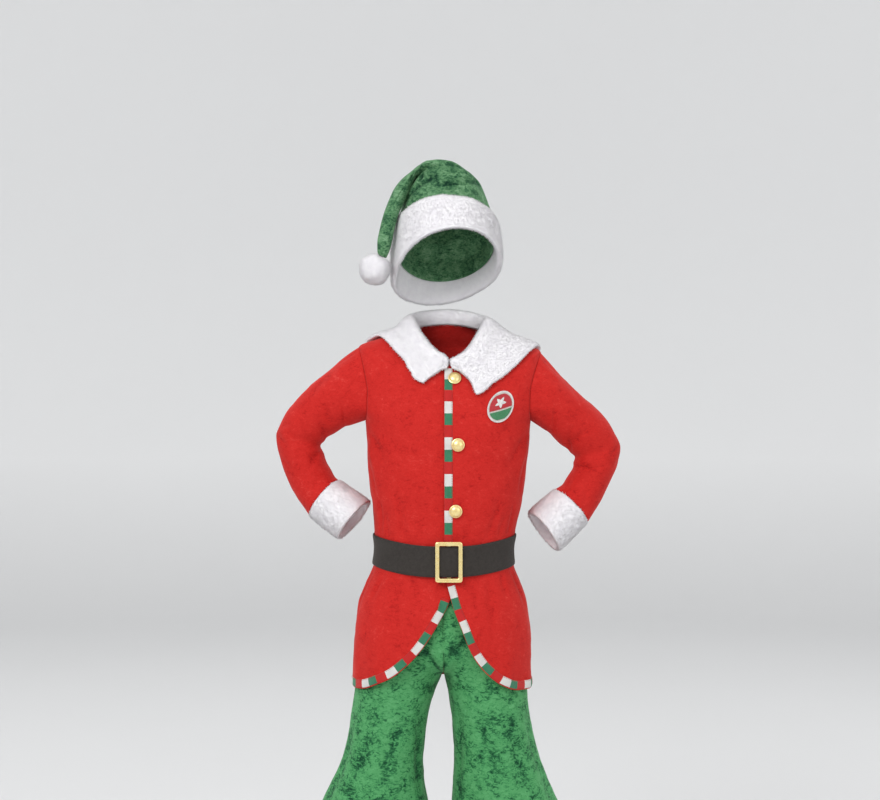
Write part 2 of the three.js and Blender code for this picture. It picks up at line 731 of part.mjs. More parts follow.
// A closed geometry as a solid for joining and cutting, and the way back.
function solid(geometry) {
  const source = geometry.index ? geometry.toNonIndexed() : geometry;
  const position = source.getAttribute('position').array;
  const places = new Map();
  const vertices = [];
  const faces = new Uint32Array(position.length / 3);
  for (let i = 0; i < faces.length; i += 1) {
    const point = [position[3 * i], position[3 * i + 1], position[3 * i + 2]];
    const key = point.map((v) => v.toFixed(4)).join();
    if (!places.has(key)) {
      places.set(key, places.size);
      vertices.push(...point);
    }
    faces[i] = places.get(key);
  }
  return new wasm.Manifold(
    new wasm.Mesh({ numProp: 3, vertProperties: new Float32Array(vertices), triVerts: faces }),
  );
}
function geometryOf(body) {
  const mesh = body.getMesh();
  const geometry = new THREE.BufferGeometry();
  geometry.setAttribute('position', new THREE.Float32BufferAttribute(mesh.vertProperties, 3));
  geometry.setIndex(new THREE.Uint32BufferAttribute(mesh.triVerts, 1));
  return geometry;
}

// The trousers. Down to the fork each half is half a ring round the wearer; below it the ring closes into a leg.
// Outer and inner are a leg's x at its sides, fork the angle at which the inner edge stops, foot its own height.
const LEG_COLUMNS = ['depth', 'outer', 'inner', 'front', 'back', 'power', 'fork', 'foot'];
const LEG_RIGHT = table(LEG_COLUMNS, [
  [296, -107.5, -4.5, 80, 72, 2.2, 90, -304],
  [320, -106, -4.5, 79, 70.5, 2.2, 90, -328],
  [345, -109, -5, 79, 72, 2.2, 90, -352],
  [372, -120, -6, 81.5, 78, 2.2, 90, -378],
  [403, -130, -6, 88, 85, 2.2, 90, -408],
  [462, -139, -6, 92, 90, 2.2, 90, -464],
  [478, -139.5, -6, 91, 88, 2.2, 64, -490],
  [492, -140, -6, 87, 84, 2.2, 38, -504],
  [505, -140.5, -6.3, 83, 80, 2.2, 17, -510],
  [518, -141, -8, 80, 78, 2.2, 0, -516],
  [537, -142, -16, 79, 79, 2.2, 0, -537],
  [565, -146.5, -26, 78, 80, 2.2, 0, -565],
  [609, -153, -33, 77, 80, 2.2, 0, -609],
  [647, -163, -36, 76, 79, 2.1, 0, -647],
  [688, -181, -34, 79, 82, 2.1, 0, -688],
  [725, -198, -28, 84, 87, 2.1, 0, -725],
  [762, -213, -19, 91, 93, 2.1, 0, -762],
]);
const LEG_LEFT = table(LEG_COLUMNS, [
  [296, 99.5, -4.5, 80, 72, 2.2, 90, -304],
  [320, 97.5, -4.5, 79, 70.5, 2.2, 90, -328],
  [345, 100, -5, 79, 72, 2.2, 90, -352],
  [372, 107, -6, 81.5, 78, 2.2, 90, -378],
  [403, 117, -6, 88, 85, 2.2, 90, -408],
  [462, 124, -6, 92, 90, 2.2, 90, -464],
  [478, 124, -6, 91, 88, 2.2, 64, -490],
  [492, 124, -6, 87, 84, 2.2, 38, -504],
  [505, 123.5, -5.7, 83, 80, 2.2, 17, -510],
  [518, 123, -4.5, 80, 78, 2.2, 0, -516],
  [537, 123, 0, 79, 79, 2.2, 0, -537],
  [565, 126.5, 4, 78, 80, 2.2, 0, -565],
  [604, 133, 8, 77, 80, 2.2, 0, -604],
  [640, 142, 10, 76, 79, 2.1, 0, -640],
  [673, 154, 10, 78, 81, 2.1, 0, -673],
  [720, 173, 8, 84, 87, 2.1, 0, -720],
  [762, 190, 3, 91, 93, 2.1, 0, -762],
]);
// Soft flutes that open towards the trousers' hems, by their angle round the leg from its outer side to the front.
const FLUTES = table(
  ['around', 'width', 'proud'],
  [
    [12, 13, 3],
    [52, 15, 5],
    [100, 14, 4],
    [148, 14, 4.5],
    [196, 14, 4],
    [246, 16, 5],
    [300, 16, 4.5],
    [345, 12, 3],
  ],
);
function legPoint(rows, s, depth, back) {
  const row = readTable(rows, depth);
  const side = Math.sign(row.outer);
  const cosFork = Math.cos(degrees(row.fork)) ** (2 / row.power);
  const seam = row.inner + (side * SEAM) / 2;
  const half = Math.abs(row.outer - seam) / (1 + cosFork);
  const middle = row.outer - side * half;
  const angle = mix(0, 180 - row.fork, s);
  const across = signedPower(Math.cos(degrees(angle)), 2 / row.power);
  const deep = Math.sin(degrees(angle)) ** (2 / row.power);
  const reach = back ? row.back : -row.front;
  const flare = foldsAt(FLUTES, back ? 360 - angle : angle) * smooth(depth, 590, 762);
  const spread = 1 + flare / half;
  const x = middle + side * half * across * (row.fork === 0 ? spread : 1);
  const seat = back ? SEAM / 2 : -SEAM / 2;
  return new THREE.Vector3(x, reach * deep * spread + seat, mix(-row.depth, row.foot, s));
}
const LEG_DEPTHS = [320.8, 345, 372, 403, 433, 462, 478, 492, 505, 518, 537, 565, 605, 645, 688, 725, 762];
const LEG_PANEL_COLUMNS = 8;
function legPanel(name, rows, back) {
  const columns = range(LEG_PANEL_COLUMNS + 1).map((j) =>
    LEG_DEPTHS.map((depth) => legPoint(rows, j / LEG_PANEL_COLUMNS, depth, back)),
  );
  const centres = LEG_DEPTHS.map((depth) => {
    const row = readTable(rows, depth);
    const middle = row.fork > 0 ? (row.outer + 3 * row.inner) / 4 : (row.outer + row.inner) / 2;
    return new THREE.Vector3(middle, 0, -depth);
  });
  const normals = gridNormals(columns, false, (i) => centres[i]);
  columns.forEach((column, j) =>
    column.forEach((_, i) => {
      const inFork = readTable(rows, LEG_DEPTHS[i]).fork > 0;
      if (j === LEG_PANEL_COLUMNS && inFork) normals[j][i].setX(0).normalize();
      else if (j === LEG_PANEL_COLUMNS || j === 0) normals[j][i].setY(0).normalize();
    }),
  );
  return add(name, loopsGeometry(wallLoops(columns, normals, VELVET), false), greenVelvet);
}

// The trousers' elastic waist casing, above the leg panels and under the belt.
function waistband() {
  const rings = [298, 309, 320].map((depth) => {
    const halves = [LEG_LEFT, LEG_RIGHT].map((rows) =>
      [false, true].map((back) => steps(0, 1, LEG_PANEL_COLUMNS).map((s) => legPoint(rows, s, depth, back))),
    );
    const [[leftFront, leftBack], [rightFront, rightBack]] = halves;
    return [
      ...leftFront.slice(0, -1),
      ...rightFront.slice(1).reverse(),
      ...rightBack.slice(1, -1),
      ...leftBack.slice(1).reverse(),
    ];
  });
  return tubeWall('trousers_waistband', rings, VELVET, greenVelvet);
}

// The leg warmers: striped tubes from below the knee to the ankle, with a soft sag near the foot.
const WARMER_COLUMNS = ['step', 'outerX', 'outerZ', 'innerX', 'innerZ', 'y', 'depth'];
const WARMER_RIGHT = table(WARMER_COLUMNS, [
  [0, -163, -694, -83, -694, 2, 92],
  [1, -164, -740, -82, -740, 6, 98],
  [2, -163, -790, -84, -790, 9, 97],
  [3, -163, -840, -88, -840, 8, 88],
  [4, -164, -890, -94, -890, 5, 78],
  [5, -166, -930, -98, -930, 3, 72],
  [6, -167, -962, -99, -962, 3, 74],
]);
const WARMER_LEFT = table(WARMER_COLUMNS, [
  [0, 53, -694, 133, -694, 2, 92],
  [1, 53, -740, 135, -740, 6, 98],
  [2, 56, -790, 135.5, -790, 9, 97],
  [3, 61, -840, 135.5, -840, 8, 88],
  [4, 67, -890, 136, -890, 5, 78],
  [5, 72, -930, 137, -930, 3, 72],
  [6, 71, -962, 139, -962, 3, 74],
]);
function legWarmer(name, rows) {
  const sag = (step) => 1.8 * Math.cos(step * 8.5) * smooth(step, 3.2, 4.6);
  const rings = steps(0, 6, 13).map((step) => sectionRing(readTable(rows, step), 16, () => sag(step)));
  return tubeWall(name, rings, KNIT, stripedCloth);
}

// The hat's plush band, by its foot and its top ring: middle, half width, reach to the front and back, how much higher
// the front lies, how much lower the back, and how far the wearer's right side hangs down.
const HAT_BAND = table(
  ['place', 'x', 'y', 'z', 'half', 'front', 'back', 'high', 'low', 'roll'],
  [
    [0, 0, -2, 101, 84.5, 90, 88, 66, 42, 0.17],
    [1, -2, 16, 169, 82.5, 78, 86, 50, 45, 0.03],
  ],
);
function bandRing(place, count, inset = 0) {
  const row = readTable(HAT_BAND, place);
  return range(count).map((k) => {
    const around = (2 * Math.PI * k) / count;
    const across = Math.cos(around);
    const deep = Math.sin(around);
    const x = (row.half - inset) * across;
    const y = row.y + (deep > 0 ? -(row.front - inset) : row.back - inset) * Math.abs(deep);
    const z = row.z + (deep > 0 ? row.high * deep : row.low * deep) + row.roll * x;
    return new THREE.Vector3(row.x + x, y, z);
  });
}

// The hat's crown, from inside the band up over the fold and down the wearer's right side to the tip.
const CROWN = table(
  ['step', 'outerX', 'outerZ', 'innerX', 'innerZ', 'y', 'depth', 'pitch'],
  [
    [2, 65, 206, -75, 188, 20, 148, 33],
    [3, 56.5, 228, -68, 210, 22, 142, 31],
    [4, 38, 246, -60, 227, 20, 126, 26],
    [5, 16, 262, -50.5, 240, 15, 106, 20],
    [6, -9, 273.5, -46, 247, 10, 86, 13],
    [7, -28, 276, -45, 250, 7, 70, 8],
    [8, -43, 269.5, -46.5, 250.5, 5, 58, 4],
    [9, -56, 260, -53, 245.5, 2, 50, 0],
    [10, -67.5, 249.5, -60, 235, -4, 44, 0],
    [11, -77.5, 236.6, -65.5, 225, -11, 38, 0],
    [12, -87, 217, -72.5, 209, -20, 32, 0],
    [13, -96, 194.7, -79.5, 191, -28, 28, 0],
    [14, -102.6, 171, -84.2, 170, -33, 25, 0],
    [15, -107, 147, -88.5, 146, -36, 22, 0],
    [16, -108.5, 131, -92.5, 126, -37, 18, 0],
  ],
);
const CROWN_FOLDS = table(
  ['step', 'around', 'length', 'width', 'proud'],
  [
    [2.6, 60, 1, 26, 3],
    [3.6, 112, 1, 22, -5],
    [4.4, 70, 1, 24, 5],
    [5.6, 125, 1, 24, -6],
    [6.4, 85, 1, 26, 4],
    [8.6, 120, 0.8, 30, -4],
    [3.2, 250, 1.2, 30, 5],
    [5, 290, 1.2, 30, -5],
    [6.6, 250, 1.2, 30, 4],
  ],
);
function crownRing(step, count) {
  const row = readTable(CROWN, step);
  const fold = (around) =>
    CROWN_FOLDS.reduce((sum, f) => {
      const away = ((around - f.around + 540) % 360) - 180;
      return sum + f.proud * Math.exp(-(((step - f.step) / f.length) ** 2) - (away / f.width) ** 2);
    }, 0);
  return sectionRing(row, count, fold, row.pitch);
}

const CROWN_STEPS = [2, 2.8, 3.6, 4.4, 5.2, 6, 6.8, 7.6, 8.4, 9.3, 10.4, 11.6, 12.8, 14.3, 16];
const CROWN_COUNT = 20;
function crown() {
  const sewnIn = [0.55, 0.97].map((place) => bandRing(place, CROWN_COUNT, BAND_THICK + 1.9));
  const rings = [...sewnIn, ...CROWN_STEPS.map((step) => crownRing(step, CROWN_COUNT))];
  const centres = rings.map((ring) =>
    ring.reduce((sum, p) => sum.add(p), new THREE.Vector3()).divideScalar(ring.length),
  );
  const columns = range(CROWN_COUNT).map((j) => rings.map((ring) => ring[j]));
  const normals = columns.map((column) => column.map((p, i) => p.clone().sub(centres[i]).normalize()));
  const halfway = CROWN_COUNT / 2;
  const panel = (name, first, side) => {
    const chosen = range(halfway + 1).map((j) => (first + j) % CROWN_COUNT);
    // The panels' edges are drawn back half a seam each, towards their own side.
    const seam = new THREE.Vector3(0, (side * SEAM) / 2, 0);
    const points = chosen.map((j, at) =>
      columns[j].map((p) => (at === 0 || at === halfway ? p.clone().add(seam) : p.clone())),
    );
    const outward = chosen.map((j, at) =>
      normals[j].map((n) => (at === 0 || at === halfway ? n.clone().setY(0).normalize() : n)),
    );
    return add(name, loopsGeometry(wallLoops(points, outward, VELVET), false), greenVelvet);
  };
  panel('hat_crown_front', 0, -1);
  panel('hat_crown_back', halfway, 1);
}

// The pompom hangs on the crown's tip, which is let into it.
function pompom() {
  const centre = new THREE.Vector3(-110, -37, 108);
  const ball = new THREE.IcosahedronGeometry(POMPOM_RADIUS, 3);
  ball.translate(centre.x, centre.y, centre.z);
  const tip = CROWN[CROWN.length - 1];
  const end = new THREE.Vector3((tip.outerX + tip.innerX) / 2, tip.y, (tip.outerZ + tip.innerZ) / 2);
  const socket = new THREE.CylinderGeometry(tip.depth / 2 + 1.2, tip.depth / 2 + 1.2, 20, 12);
  const outward = end.clone().sub(centre).normalize();
  socket.translate(0, 10 - SEAM - 3, 0);
  socket.applyQuaternion(new THREE.Quaternion().setFromUnitVectors(new THREE.Vector3(0, 1, 0), outward));
  socket.translate(end.x, end.y, end.z);
  return add('hat_pompom', geometryOf(solid(ball).subtract(solid(socket))), plush);
}

// Jacket
frontPanel('jacket_front_left', 1, [OVERLAP_EDGE, 9, 22], HEM_LEFT);
frontPanel('jacket_front_right', -1, [UNDERLAP_EDGE, 8, OVERLAP_EDGE - 1, OVERLAP_EDGE - 14], HEM_RIGHT);
backPanel();
sleeve('jacket_sleeve_left', SLEEVE_LEFT, 1);
sleeve('jacket_sleeve_right', SLEEVE_RIGHT, -1);
cuff('sleeve_cuff_left', SLEEVE_LEFT, CUFF_END_LEFT);
cuff('sleeve_cuff_right', SLEEVE_RIGHT, CUFF_END_RIGHT);
collar();
jacketBindings();
button('button_top', 11.2, -4.5);
button('button_middle', 16, -140);
button('button_low', 12.6, -250);
patch();

// Belt
belt();
buckle();

// Trousers
legPanel('trousers_front_left', LEG_LEFT, false);
legPanel('trousers_back_left', LEG_LEFT, true);
legPanel('trousers_front_right', LEG_RIGHT, false);
legPanel('trousers_back_right', LEG_RIGHT, true);
waistband();

// Leg warmers
legWarmer('leg_warmer_left', WARMER_LEFT);
legWarmer('leg_warmer_right', WARMER_RIGHT);

// Hat
pileRing('hat_band', bandRing(0, 28), bandRing(1, 28), BAND_THICK);
crown();
pompom();

export default costume;
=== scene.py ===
"""A child's elf costume in its worn, hollow form: the looks of its velvet, plush, stripes, felt and metal.

Lengths are millimetres until a mesh is made, in the frame of the solids: +Z up, -Y to the front and +X to
the wearer's left. Angles round the wearer are degrees: 0 at the left side, 90 at the centre front, 180 at the
right side and 270 at the centre back.
"""

import math

import bpy
import numpy as np
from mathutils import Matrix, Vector


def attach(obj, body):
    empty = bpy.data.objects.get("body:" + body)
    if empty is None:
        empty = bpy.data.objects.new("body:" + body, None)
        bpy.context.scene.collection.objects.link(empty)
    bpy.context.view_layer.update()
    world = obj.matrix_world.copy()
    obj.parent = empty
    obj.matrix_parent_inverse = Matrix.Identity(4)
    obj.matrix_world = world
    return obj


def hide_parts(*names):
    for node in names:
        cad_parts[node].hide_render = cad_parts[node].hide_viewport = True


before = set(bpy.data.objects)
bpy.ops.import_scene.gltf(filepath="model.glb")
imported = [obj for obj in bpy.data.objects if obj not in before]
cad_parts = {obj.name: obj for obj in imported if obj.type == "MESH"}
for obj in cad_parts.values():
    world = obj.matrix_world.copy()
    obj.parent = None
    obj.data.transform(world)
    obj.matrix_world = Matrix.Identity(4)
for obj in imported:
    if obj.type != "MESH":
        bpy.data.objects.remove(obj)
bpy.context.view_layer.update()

MM = 0.001
LOOK = "_look"  # ends the name of a piece, after the name of the solid that it stands for

# Driving sizes, shared with the solids
VELVET = 1.9
PLUSH = 6.0
BAND_THICK = 8.0
KNIT = 1.9
SEAM = 0.3
BINDING_WIDTH = 12.0
BINDING_THICK = 1.0
BINDING_STAND = 0.2
BELT_THICK = 2.5
BELT_TOP = -299.0
BELT_FOOT = -345.0
NECK_LEVEL = 17.0
SHOULDER_LEVEL = -14.0
UNDERARM_LEVEL = -124.0
HEM_LEVEL = -532.0
SPLIT_LEVEL = -353.0
OVERLAP_EDGE = -4.0
UNDERLAP_EDGE = 20.0
POMPOM_RADIUS = 25.0

# The pile of each plush piece: the length of its tufts and how far apart they stand
CUFF_PILE = (2.8, 1.6)
COLLAR_PILE = (2.7, 1.62)
HAT_BAND_PILE = (3.0, 1.6)
POMPOM_PILE = (2.9, 1.45)


# Tables and noise

class Table:
    """Rows of numbers under a line of names, read between rows on smooth curves that don't overshoot."""

    def __init__(self, text):
        lines = [line.split() for line in text.strip().splitlines() if not line.startswith("#")]
        self.columns = lines[0]
        self.rows = np.array(lines[1:], float)
        self.key = self.rows[:, 0]

    def slopes(self):
        rate = np.diff(self.rows, axis=0) / np.diff(self.key)[:, None]
        before, after = rate[:-1], rate[1:]
        agree = before * after > 0
        total = np.where(agree, before + after, 1.0)
        inner = np.where(agree, 2 * before * after / total, 0.0)
        return np.concatenate([rate[:1], inner, rate[-1:]])

    def at(self, place):
        place = np.clip(np.asarray(place, float), self.key[0], self.key[-1])
        i = np.clip(np.searchsorted(self.key, place, side="right") - 1, 0, len(self.key) - 2)
        width = (self.key[i + 1] - self.key[i])[..., None]
        t = (place - self.key[i])[..., None] / width
        slope = self.slopes()
        p0, p1 = self.rows[i], self.rows[i + 1]
        m0, m1 = slope[i] * width, slope[i + 1] * width
        bend = 3 * (p1 - p0) - 2 * m0 - m1
        value = p0 + t * (m0 + t * (bend + t * (m0 + m1 - 2 * (p1 - p0))))
        return {name: value[..., k] for k, name in enumerate(self.columns)}

    def each(self):
        return [dict(zip(self.columns, row)) for row in self.rows]


def smooth(value, low, high):
    t = np.clip((np.asarray(value, float) - low) / (high - low), 0, 1)
    return t * t * (3 - 2 * t)


def mix(a, b, t):
    return a + (b - a) * t


def signed_power(value, power):
    return np.sign(value) * np.abs(value) ** power


def unit(vectors):
    length = np.linalg.norm(vectors, axis=-1, keepdims=True)
    return vectors / np.maximum(length, 1e-9)


def stack(x, y, z):
    return np.stack(np.broadcast_arrays(x, y, z), -1).astype(float)


def circle(count):
    """Angles in degrees, evenly spaced round a full turn."""
    return np.arange(count) * 360 / count


def apart(angle, other):
    """The signed difference of two angles, from -180 to 180 degrees."""
    return (angle - other + 540) % 360 - 180


def noise(points, scale, seed):
    """Smooth noise from about -1 to 1, with bumps about scale millimetres across."""
    place = points / scale + seed * 17.31
    cell = np.floor(place).astype(np.int64)
    t = place - cell
    t = t * t * t * (t * (t * 6 - 15) + 10)
    total = np.zeros(place.shape[:-1])
    for corner in range(8):
        step = np.array([corner & 1, corner >> 1 & 1, corner >> 2 & 1])
        x, y, z = np.moveaxis(cell + step, -1, 0)
        value = (x * 374761393 + y * 668265263 + z * 1440662683 + seed * 1013904223) & 0x7FFFFFFF
        value = (value ^ value >> 13) * 1274126177 & 0x7FFFFFFF
        value = ((value ^ value >> 16) & 0xFFFF) / 32767.5 - 1
        total += value * np.prod(np.where(step == 1, t, 1 - t), axis=-1)
    return total


def rumple(points, seed):
    """The small unevenness of hanging cloth, about a millimetre either way."""
    wide, narrow, fine = (noise(points, scale, seed + k) for k, scale in enumerate((45, 19, 8)))
    return 0.8 * wide + 0.45 * narrow + 0.16 * fine


def creases(around, along, folds, degree):
    """Soft troughs and ridges, placed one by one. Each runs from one angle and height to another, bowed to
    its side, with its own width and depth in millimetres. degree is how many millimetres a degree is.
    """
    total = np.zeros(np.broadcast(around, along).shape)
    for fold in folds.each():
        run_around = apart(fold["to_around"], fold["around"]) * degree
        run_along = fold["to_along"] - fold["along"]
        length = math.hypot(run_around, run_along)
        across = apart(around, fold["around"]) * degree
        up = along - fold["along"]
        t = (across * run_around + up * run_along) / length**2
        side = (up * run_around - across * run_along) / length - fold["bow"] * 4 * t * (1 - t)
        fade = np.where((t > 0) & (t < 1), np.sin(np.pi * np.clip(t, 0, 1)) ** 0.8, 0.0)
        lean = side / fold["width"]
        total += fold["depth"] * fade * np.exp(-(lean**2)) * (1 - 0.4 * np.tanh(lean))
    return total


# Meshes

def make_mesh(name, points, faces, material, plan=None, normals=None, hollow=None):
    """A mesh object from points in millimetres. faces is a list of arrays, each with equally many corners a
    face. plan gives the corners' places on the flat cloth, and hollow from 0 to 1 how deep in a fold each
    point lies.
    """
    mesh = bpy.data.meshes.new(name)
    corners = np.concatenate([part.ravel() for part in faces]).astype(np.int32)
    sizes = np.concatenate([np.full(len(part), part.shape[1]) for part in faces]).astype(np.int32)
    mesh.vertices.add(len(points))
    mesh.vertices.foreach_set("co", (points * MM).ravel())
    mesh.loops.add(len(corners))
    mesh.loops.foreach_set("vertex_index", corners)
    mesh.polygons.add(len(sizes))
    mesh.polygons.foreach_set("loop_start", (np.cumsum(sizes) - sizes).astype(np.int32))
    mesh.polygons.foreach_set("loop_total", sizes)
    mesh.polygons.foreach_set("use_smooth", np.ones(len(sizes), bool))
    if plan is not None:
        mesh.uv_layers.new(name="plan").data.foreach_set("uv", (plan * MM).ravel())
    mesh.update(calc_edges=True)
    mesh.materials.append(material)
    # The velvet reads hollow to paint shade into the folds.
    if hollow is not None:
        mesh.attributes.new("hollow", "FLOAT", "POINT").data.foreach_set("value", hollow)
    if normals is not None:
        mesh.normals_split_custom_set_from_vertices(normals.tolist())
    obj = bpy.data.objects.new(name + LOOK, mesh)
    bpy.context.collection.objects.link(obj)
    return obj


def volume(points, quads):
    a, b, c, d = (points[quads[:, k]] for k in range(4))
    return np.einsum("ij,ij", a, np.cross(b, c)) + np.einsum("ij,ij", a, np.cross(c, d))


def facing_out(points, quads):
    """The faces of a closed mesh, turned to face out of it."""
    return quads[:, ::-1] if volume(points, quads) < 0 else quads


def ring_faces(rows, columns, closed=True):
    """The faces of a grid of points [j, i] whose rows go all round, and whose columns do too if closed."""
    j, i = np.meshgrid(np.arange(rows), np.arange(columns if closed else columns - 1), indexing="ij")
    after, up = (j + 1) % rows, (i + 1) % columns
    faces = [j * columns + i, after * columns + i, after * columns + up, j * columns + up]
    return np.stack(faces, -1).reshape(-1, 4)


def wall_parts(outer, inner, closed, plan=None):
    """Points, faces and plan of a closed shell between two grids of points [j, i], with its rims rounded. j
    runs round the piece, all the way if closed, and i runs along it.
    """
    n, m = outer.shape[:2]
    index = np.arange(n * m).reshape(n, m)
    at_rim = np.zeros((n, m), bool)
    at_rim[:, [0, -1]] = True
    if not closed:
        at_rim[[0, -1], :] = True
    rim = np.full((n, m), -1)
    rim[at_rim] = 2 * n * m + np.arange(at_rim.sum())
    inward_j = np.arange(n) if closed else np.clip(np.arange(n), 1, n - 2)
    inward = outer[np.ix_(inward_j, np.clip(np.arange(m), 1, m - 2))]
    thick = np.linalg.norm(outer - inner, axis=-1, keepdims=True)
    rim_points = (outer + inner) / 2 + unit(outer - inward) * thick * 0.4
    points = np.concatenate([outer.reshape(-1, 3), inner.reshape(-1, 3), rim_points[at_rim]])

    if closed:
        index, rim = (np.concatenate([grid, grid[:1]]) for grid in (index, rim))
    rows, columns = np.meshgrid(np.arange(index.shape[0]), np.arange(m), indexing="ij")

    def quads_of(grid):
        return np.stack([grid[:-1, :-1], grid[1:, :-1], grid[1:, 1:], grid[:-1, 1:]], -1).reshape(-1, 4)

    j, i = quads_of(rows), quads_of(columns)
    sides = [(rows[:, 0], columns[:, 0]), (rows[::-1, -1], columns[::-1, -1])]
    if not closed:
        sides += [(rows[-1], columns[-1]), (rows[0, ::-1], columns[0, ::-1])]
    rim_faces, rim_j, rim_i = [], [], []
    for side_j, side_i in sides:
        here, there = (side_j[:-1], side_i[:-1]), (side_j[1:], side_i[1:])
        rim_faces.append(np.stack([index[there], index[here], rim[here], rim[there]], -1))
        rim_faces.append(np.stack([index[here] + n * m, index[there] + n * m, rim[there], rim[here]], -1))
        for first, second in ((there, here), (here, there)):
            rim_j.append(np.stack([first[0], second[0], second[0], first[0]], -1))
            rim_i.append(np.stack([first[1], second[1], second[1], first[1]], -1))
    quads = np.concatenate([index[j, i], index[j, i][:, ::-1] + n * m, *rim_faces])
    j = np.concatenate([j, j[:, ::-1], *rim_j])
    i = np.concatenate([i, i[:, ::-1], *rim_i])
    if volume(points, quads) < 0:
        quads, j, i = quads[:, ::-1], j[:, ::-1], i[:, ::-1]
    if plan is not None:
        plan = np.stack(np.broadcast_arrays(*plan), -1)[j, i].reshape(-1, 2)
    return points, quads, plan


def wall(name, outer, inner, closed, material, plan=None, relief=None):
    """A shell between two grids. The troughs of its relief, in millimetres, are kept as hollows."""
    points, quads, plan = wall_parts(outer, inner, closed, plan)
    hollow = None
    if relief is not None:
        # The hollows are kept for the velvet, which darkens its colour there as painted shade in the folds.
        hollow = np.zeros(len(points))
        hollow[: 2 * relief.size] = np.tile(np.clip(-relief.ravel() / 5, 0, 1), 2)
    return make_mesh(name, points, [quads], material, plan, hollow=hollow)


def grid_normals(grid, closed, inside):
    """Unit normals of grid[j, i], turned away from the point or points inside."""
    if closed:
        across = np.roll(grid, -1, 0) - np.roll(grid, 1, 0)
    else:
        across = np.gradient(grid, axis=0)
    normal = unit(np.cross(across, np.gradient(grid, axis=1)))
    facing = np.einsum("jik,jik->ji", normal, grid - inside)
    return normal * np.where(facing < 0, -1, 1)[..., None]


def vertex_normals(points, quads):
    a, b, c, d = (points[quads[:, k]] for k in range(4))
    facing = np.cross(c - a, d - b)
    total = np.zeros_like(points)
    for k in range(4):
        np.add.at(total, quads[:, k], facing)
    return unit(total)


def run_lengths(points):
    """How far along its way each point of a line lies."""
    return np.concatenate([[0.0], np.cumsum(np.linalg.norm(np.diff(points, axis=0), axis=-1))])


def pile_mesh(name, points, quads, material, pile, seed, comb, cover):
    """A base with a pile of fine tufts on it, one mesh, shaded softly as one surface. pile is the tufts'
    length and spacing, comb the way that they lean, and cover from 0 to 1 how densely they stand.
    """
    length, spacing = pile
    rng = np.random.default_rng(seed)
    normals = vertex_normals(points, quads)
    a, b, c, d = (points[quads[:, k]] for k in range(4))
    weight = np.linalg.norm(np.cross(c - a, d - b), axis=-1) / 2 * cover[quads].mean(1)
    count = int(weight.sum() / spacing**2)
    chosen = quads[np.searchsorted(np.cumsum(weight) / weight.sum(), (np.arange(count) + 0.5) / count)]
    u, v = rng.random((2, count, 1))
    shares = [(1 - u) * (1 - v), u * (1 - v), u * v, (1 - u) * v]
    root = sum(share * points[chosen[:, k]] for k, share in enumerate(shares))
    normal = unit(sum(share * normals[chosen[:, k]] for k, share in enumerate(shares)))
    lay = unit(normal + np.array(comb) + 0.42 * rng.normal(size=(count, 3)))
    lay = unit(lay + normal * 0.25)
    tip = root + lay * length * (0.55 + 0.6 * rng.random((count, 1)))
    side = unit(np.cross(normal, rng.normal(size=(count, 3))))
    other = np.cross(normal, side)
    turns = np.radians([0, 120, 240])
    wide = spacing * 0.42
    feet = [root - normal * 0.3 + wide * (math.cos(t) * side + math.sin(t) * other) for t in turns]
    tufts = np.stack([*feet, tip], 1).reshape(-1, 3)
    first = len(points) + 4 * np.arange(count)[:, None]
    faces = np.concatenate([first + np.array(face) for face in ([0, 1, 3], [1, 2, 3], [2, 0, 3], [2, 1, 0])])
    tip_normal = unit(normal + 0.55 * lay)
    tuft_normals = np.stack([normal, normal, normal, tip_normal], 1).reshape(-1, 3)
    normals = np.concatenate([normals, tuft_normals])
    return make_mesh(name, np.concatenate([points, tufts]), [quads, faces], material, normals=normals)


def stitches(name, line, normals, material, length, pitch):
    """A row of stitches along a line, each a small thread lying on the cloth, its ends let into it."""
    thick = 0.3
    run = run_lengths(line)
    count = int(run[-1] / pitch)
    starts = (np.arange(count) + 0.5) * run[-1] / count - length / 2
    stations = np.array([0.0, 0.12, 0.5, 0.88, 1.0])
    heights = np.array([-0.5, 0.15, 0.35, 0.15, -0.5])
    sides = 5
    places = (starts[:, None] + stations * length).ravel()

    def read(values):
        return np.stack([np.interp(places, run, values[:, k]) for k in range(3)], -1)

    up = unit(read(normals))
    centre = read(line) + up * (np.tile(heights, count) * thick)[:, None]
    ahead = unit(read(np.gradient(line, axis=0)))
    across = unit(np.cross(ahead, up))
    turns = 2 * np.pi * np.arange(sides) / sides
    half = thick * np.tile([0.5, 0.95, 1.0, 0.95, 0.5], count)[:, None, None]
    ring = np.cos(turns)[:, None] * across[:, None] + np.sin(turns)[:, None] * up[:, None]
    points = (centre[:, None] + half * ring).reshape(-1, 3)
    per = len(stations) * sides
    k, s = np.meshgrid(np.arange(len(stations) - 1), np.arange(sides), indexing="ij")
    here, beside = k * sides + s, k * sides + (s + 1) % sides
    one = np.stack([here, beside, beside + sides, here + sides], -1).reshape(-1, 4)
    shift = per * np.arange(count)[:, None, None]
    quads = (one + shift).reshape(-1, 4)
    ends = np.array([np.arange(sides)[::-1], per - sides + np.arange(sides)])
    caps = (ends + shift).reshape(-1, sides)
    return make_mesh(name, points, [quads, caps], material)


# The jacket's body

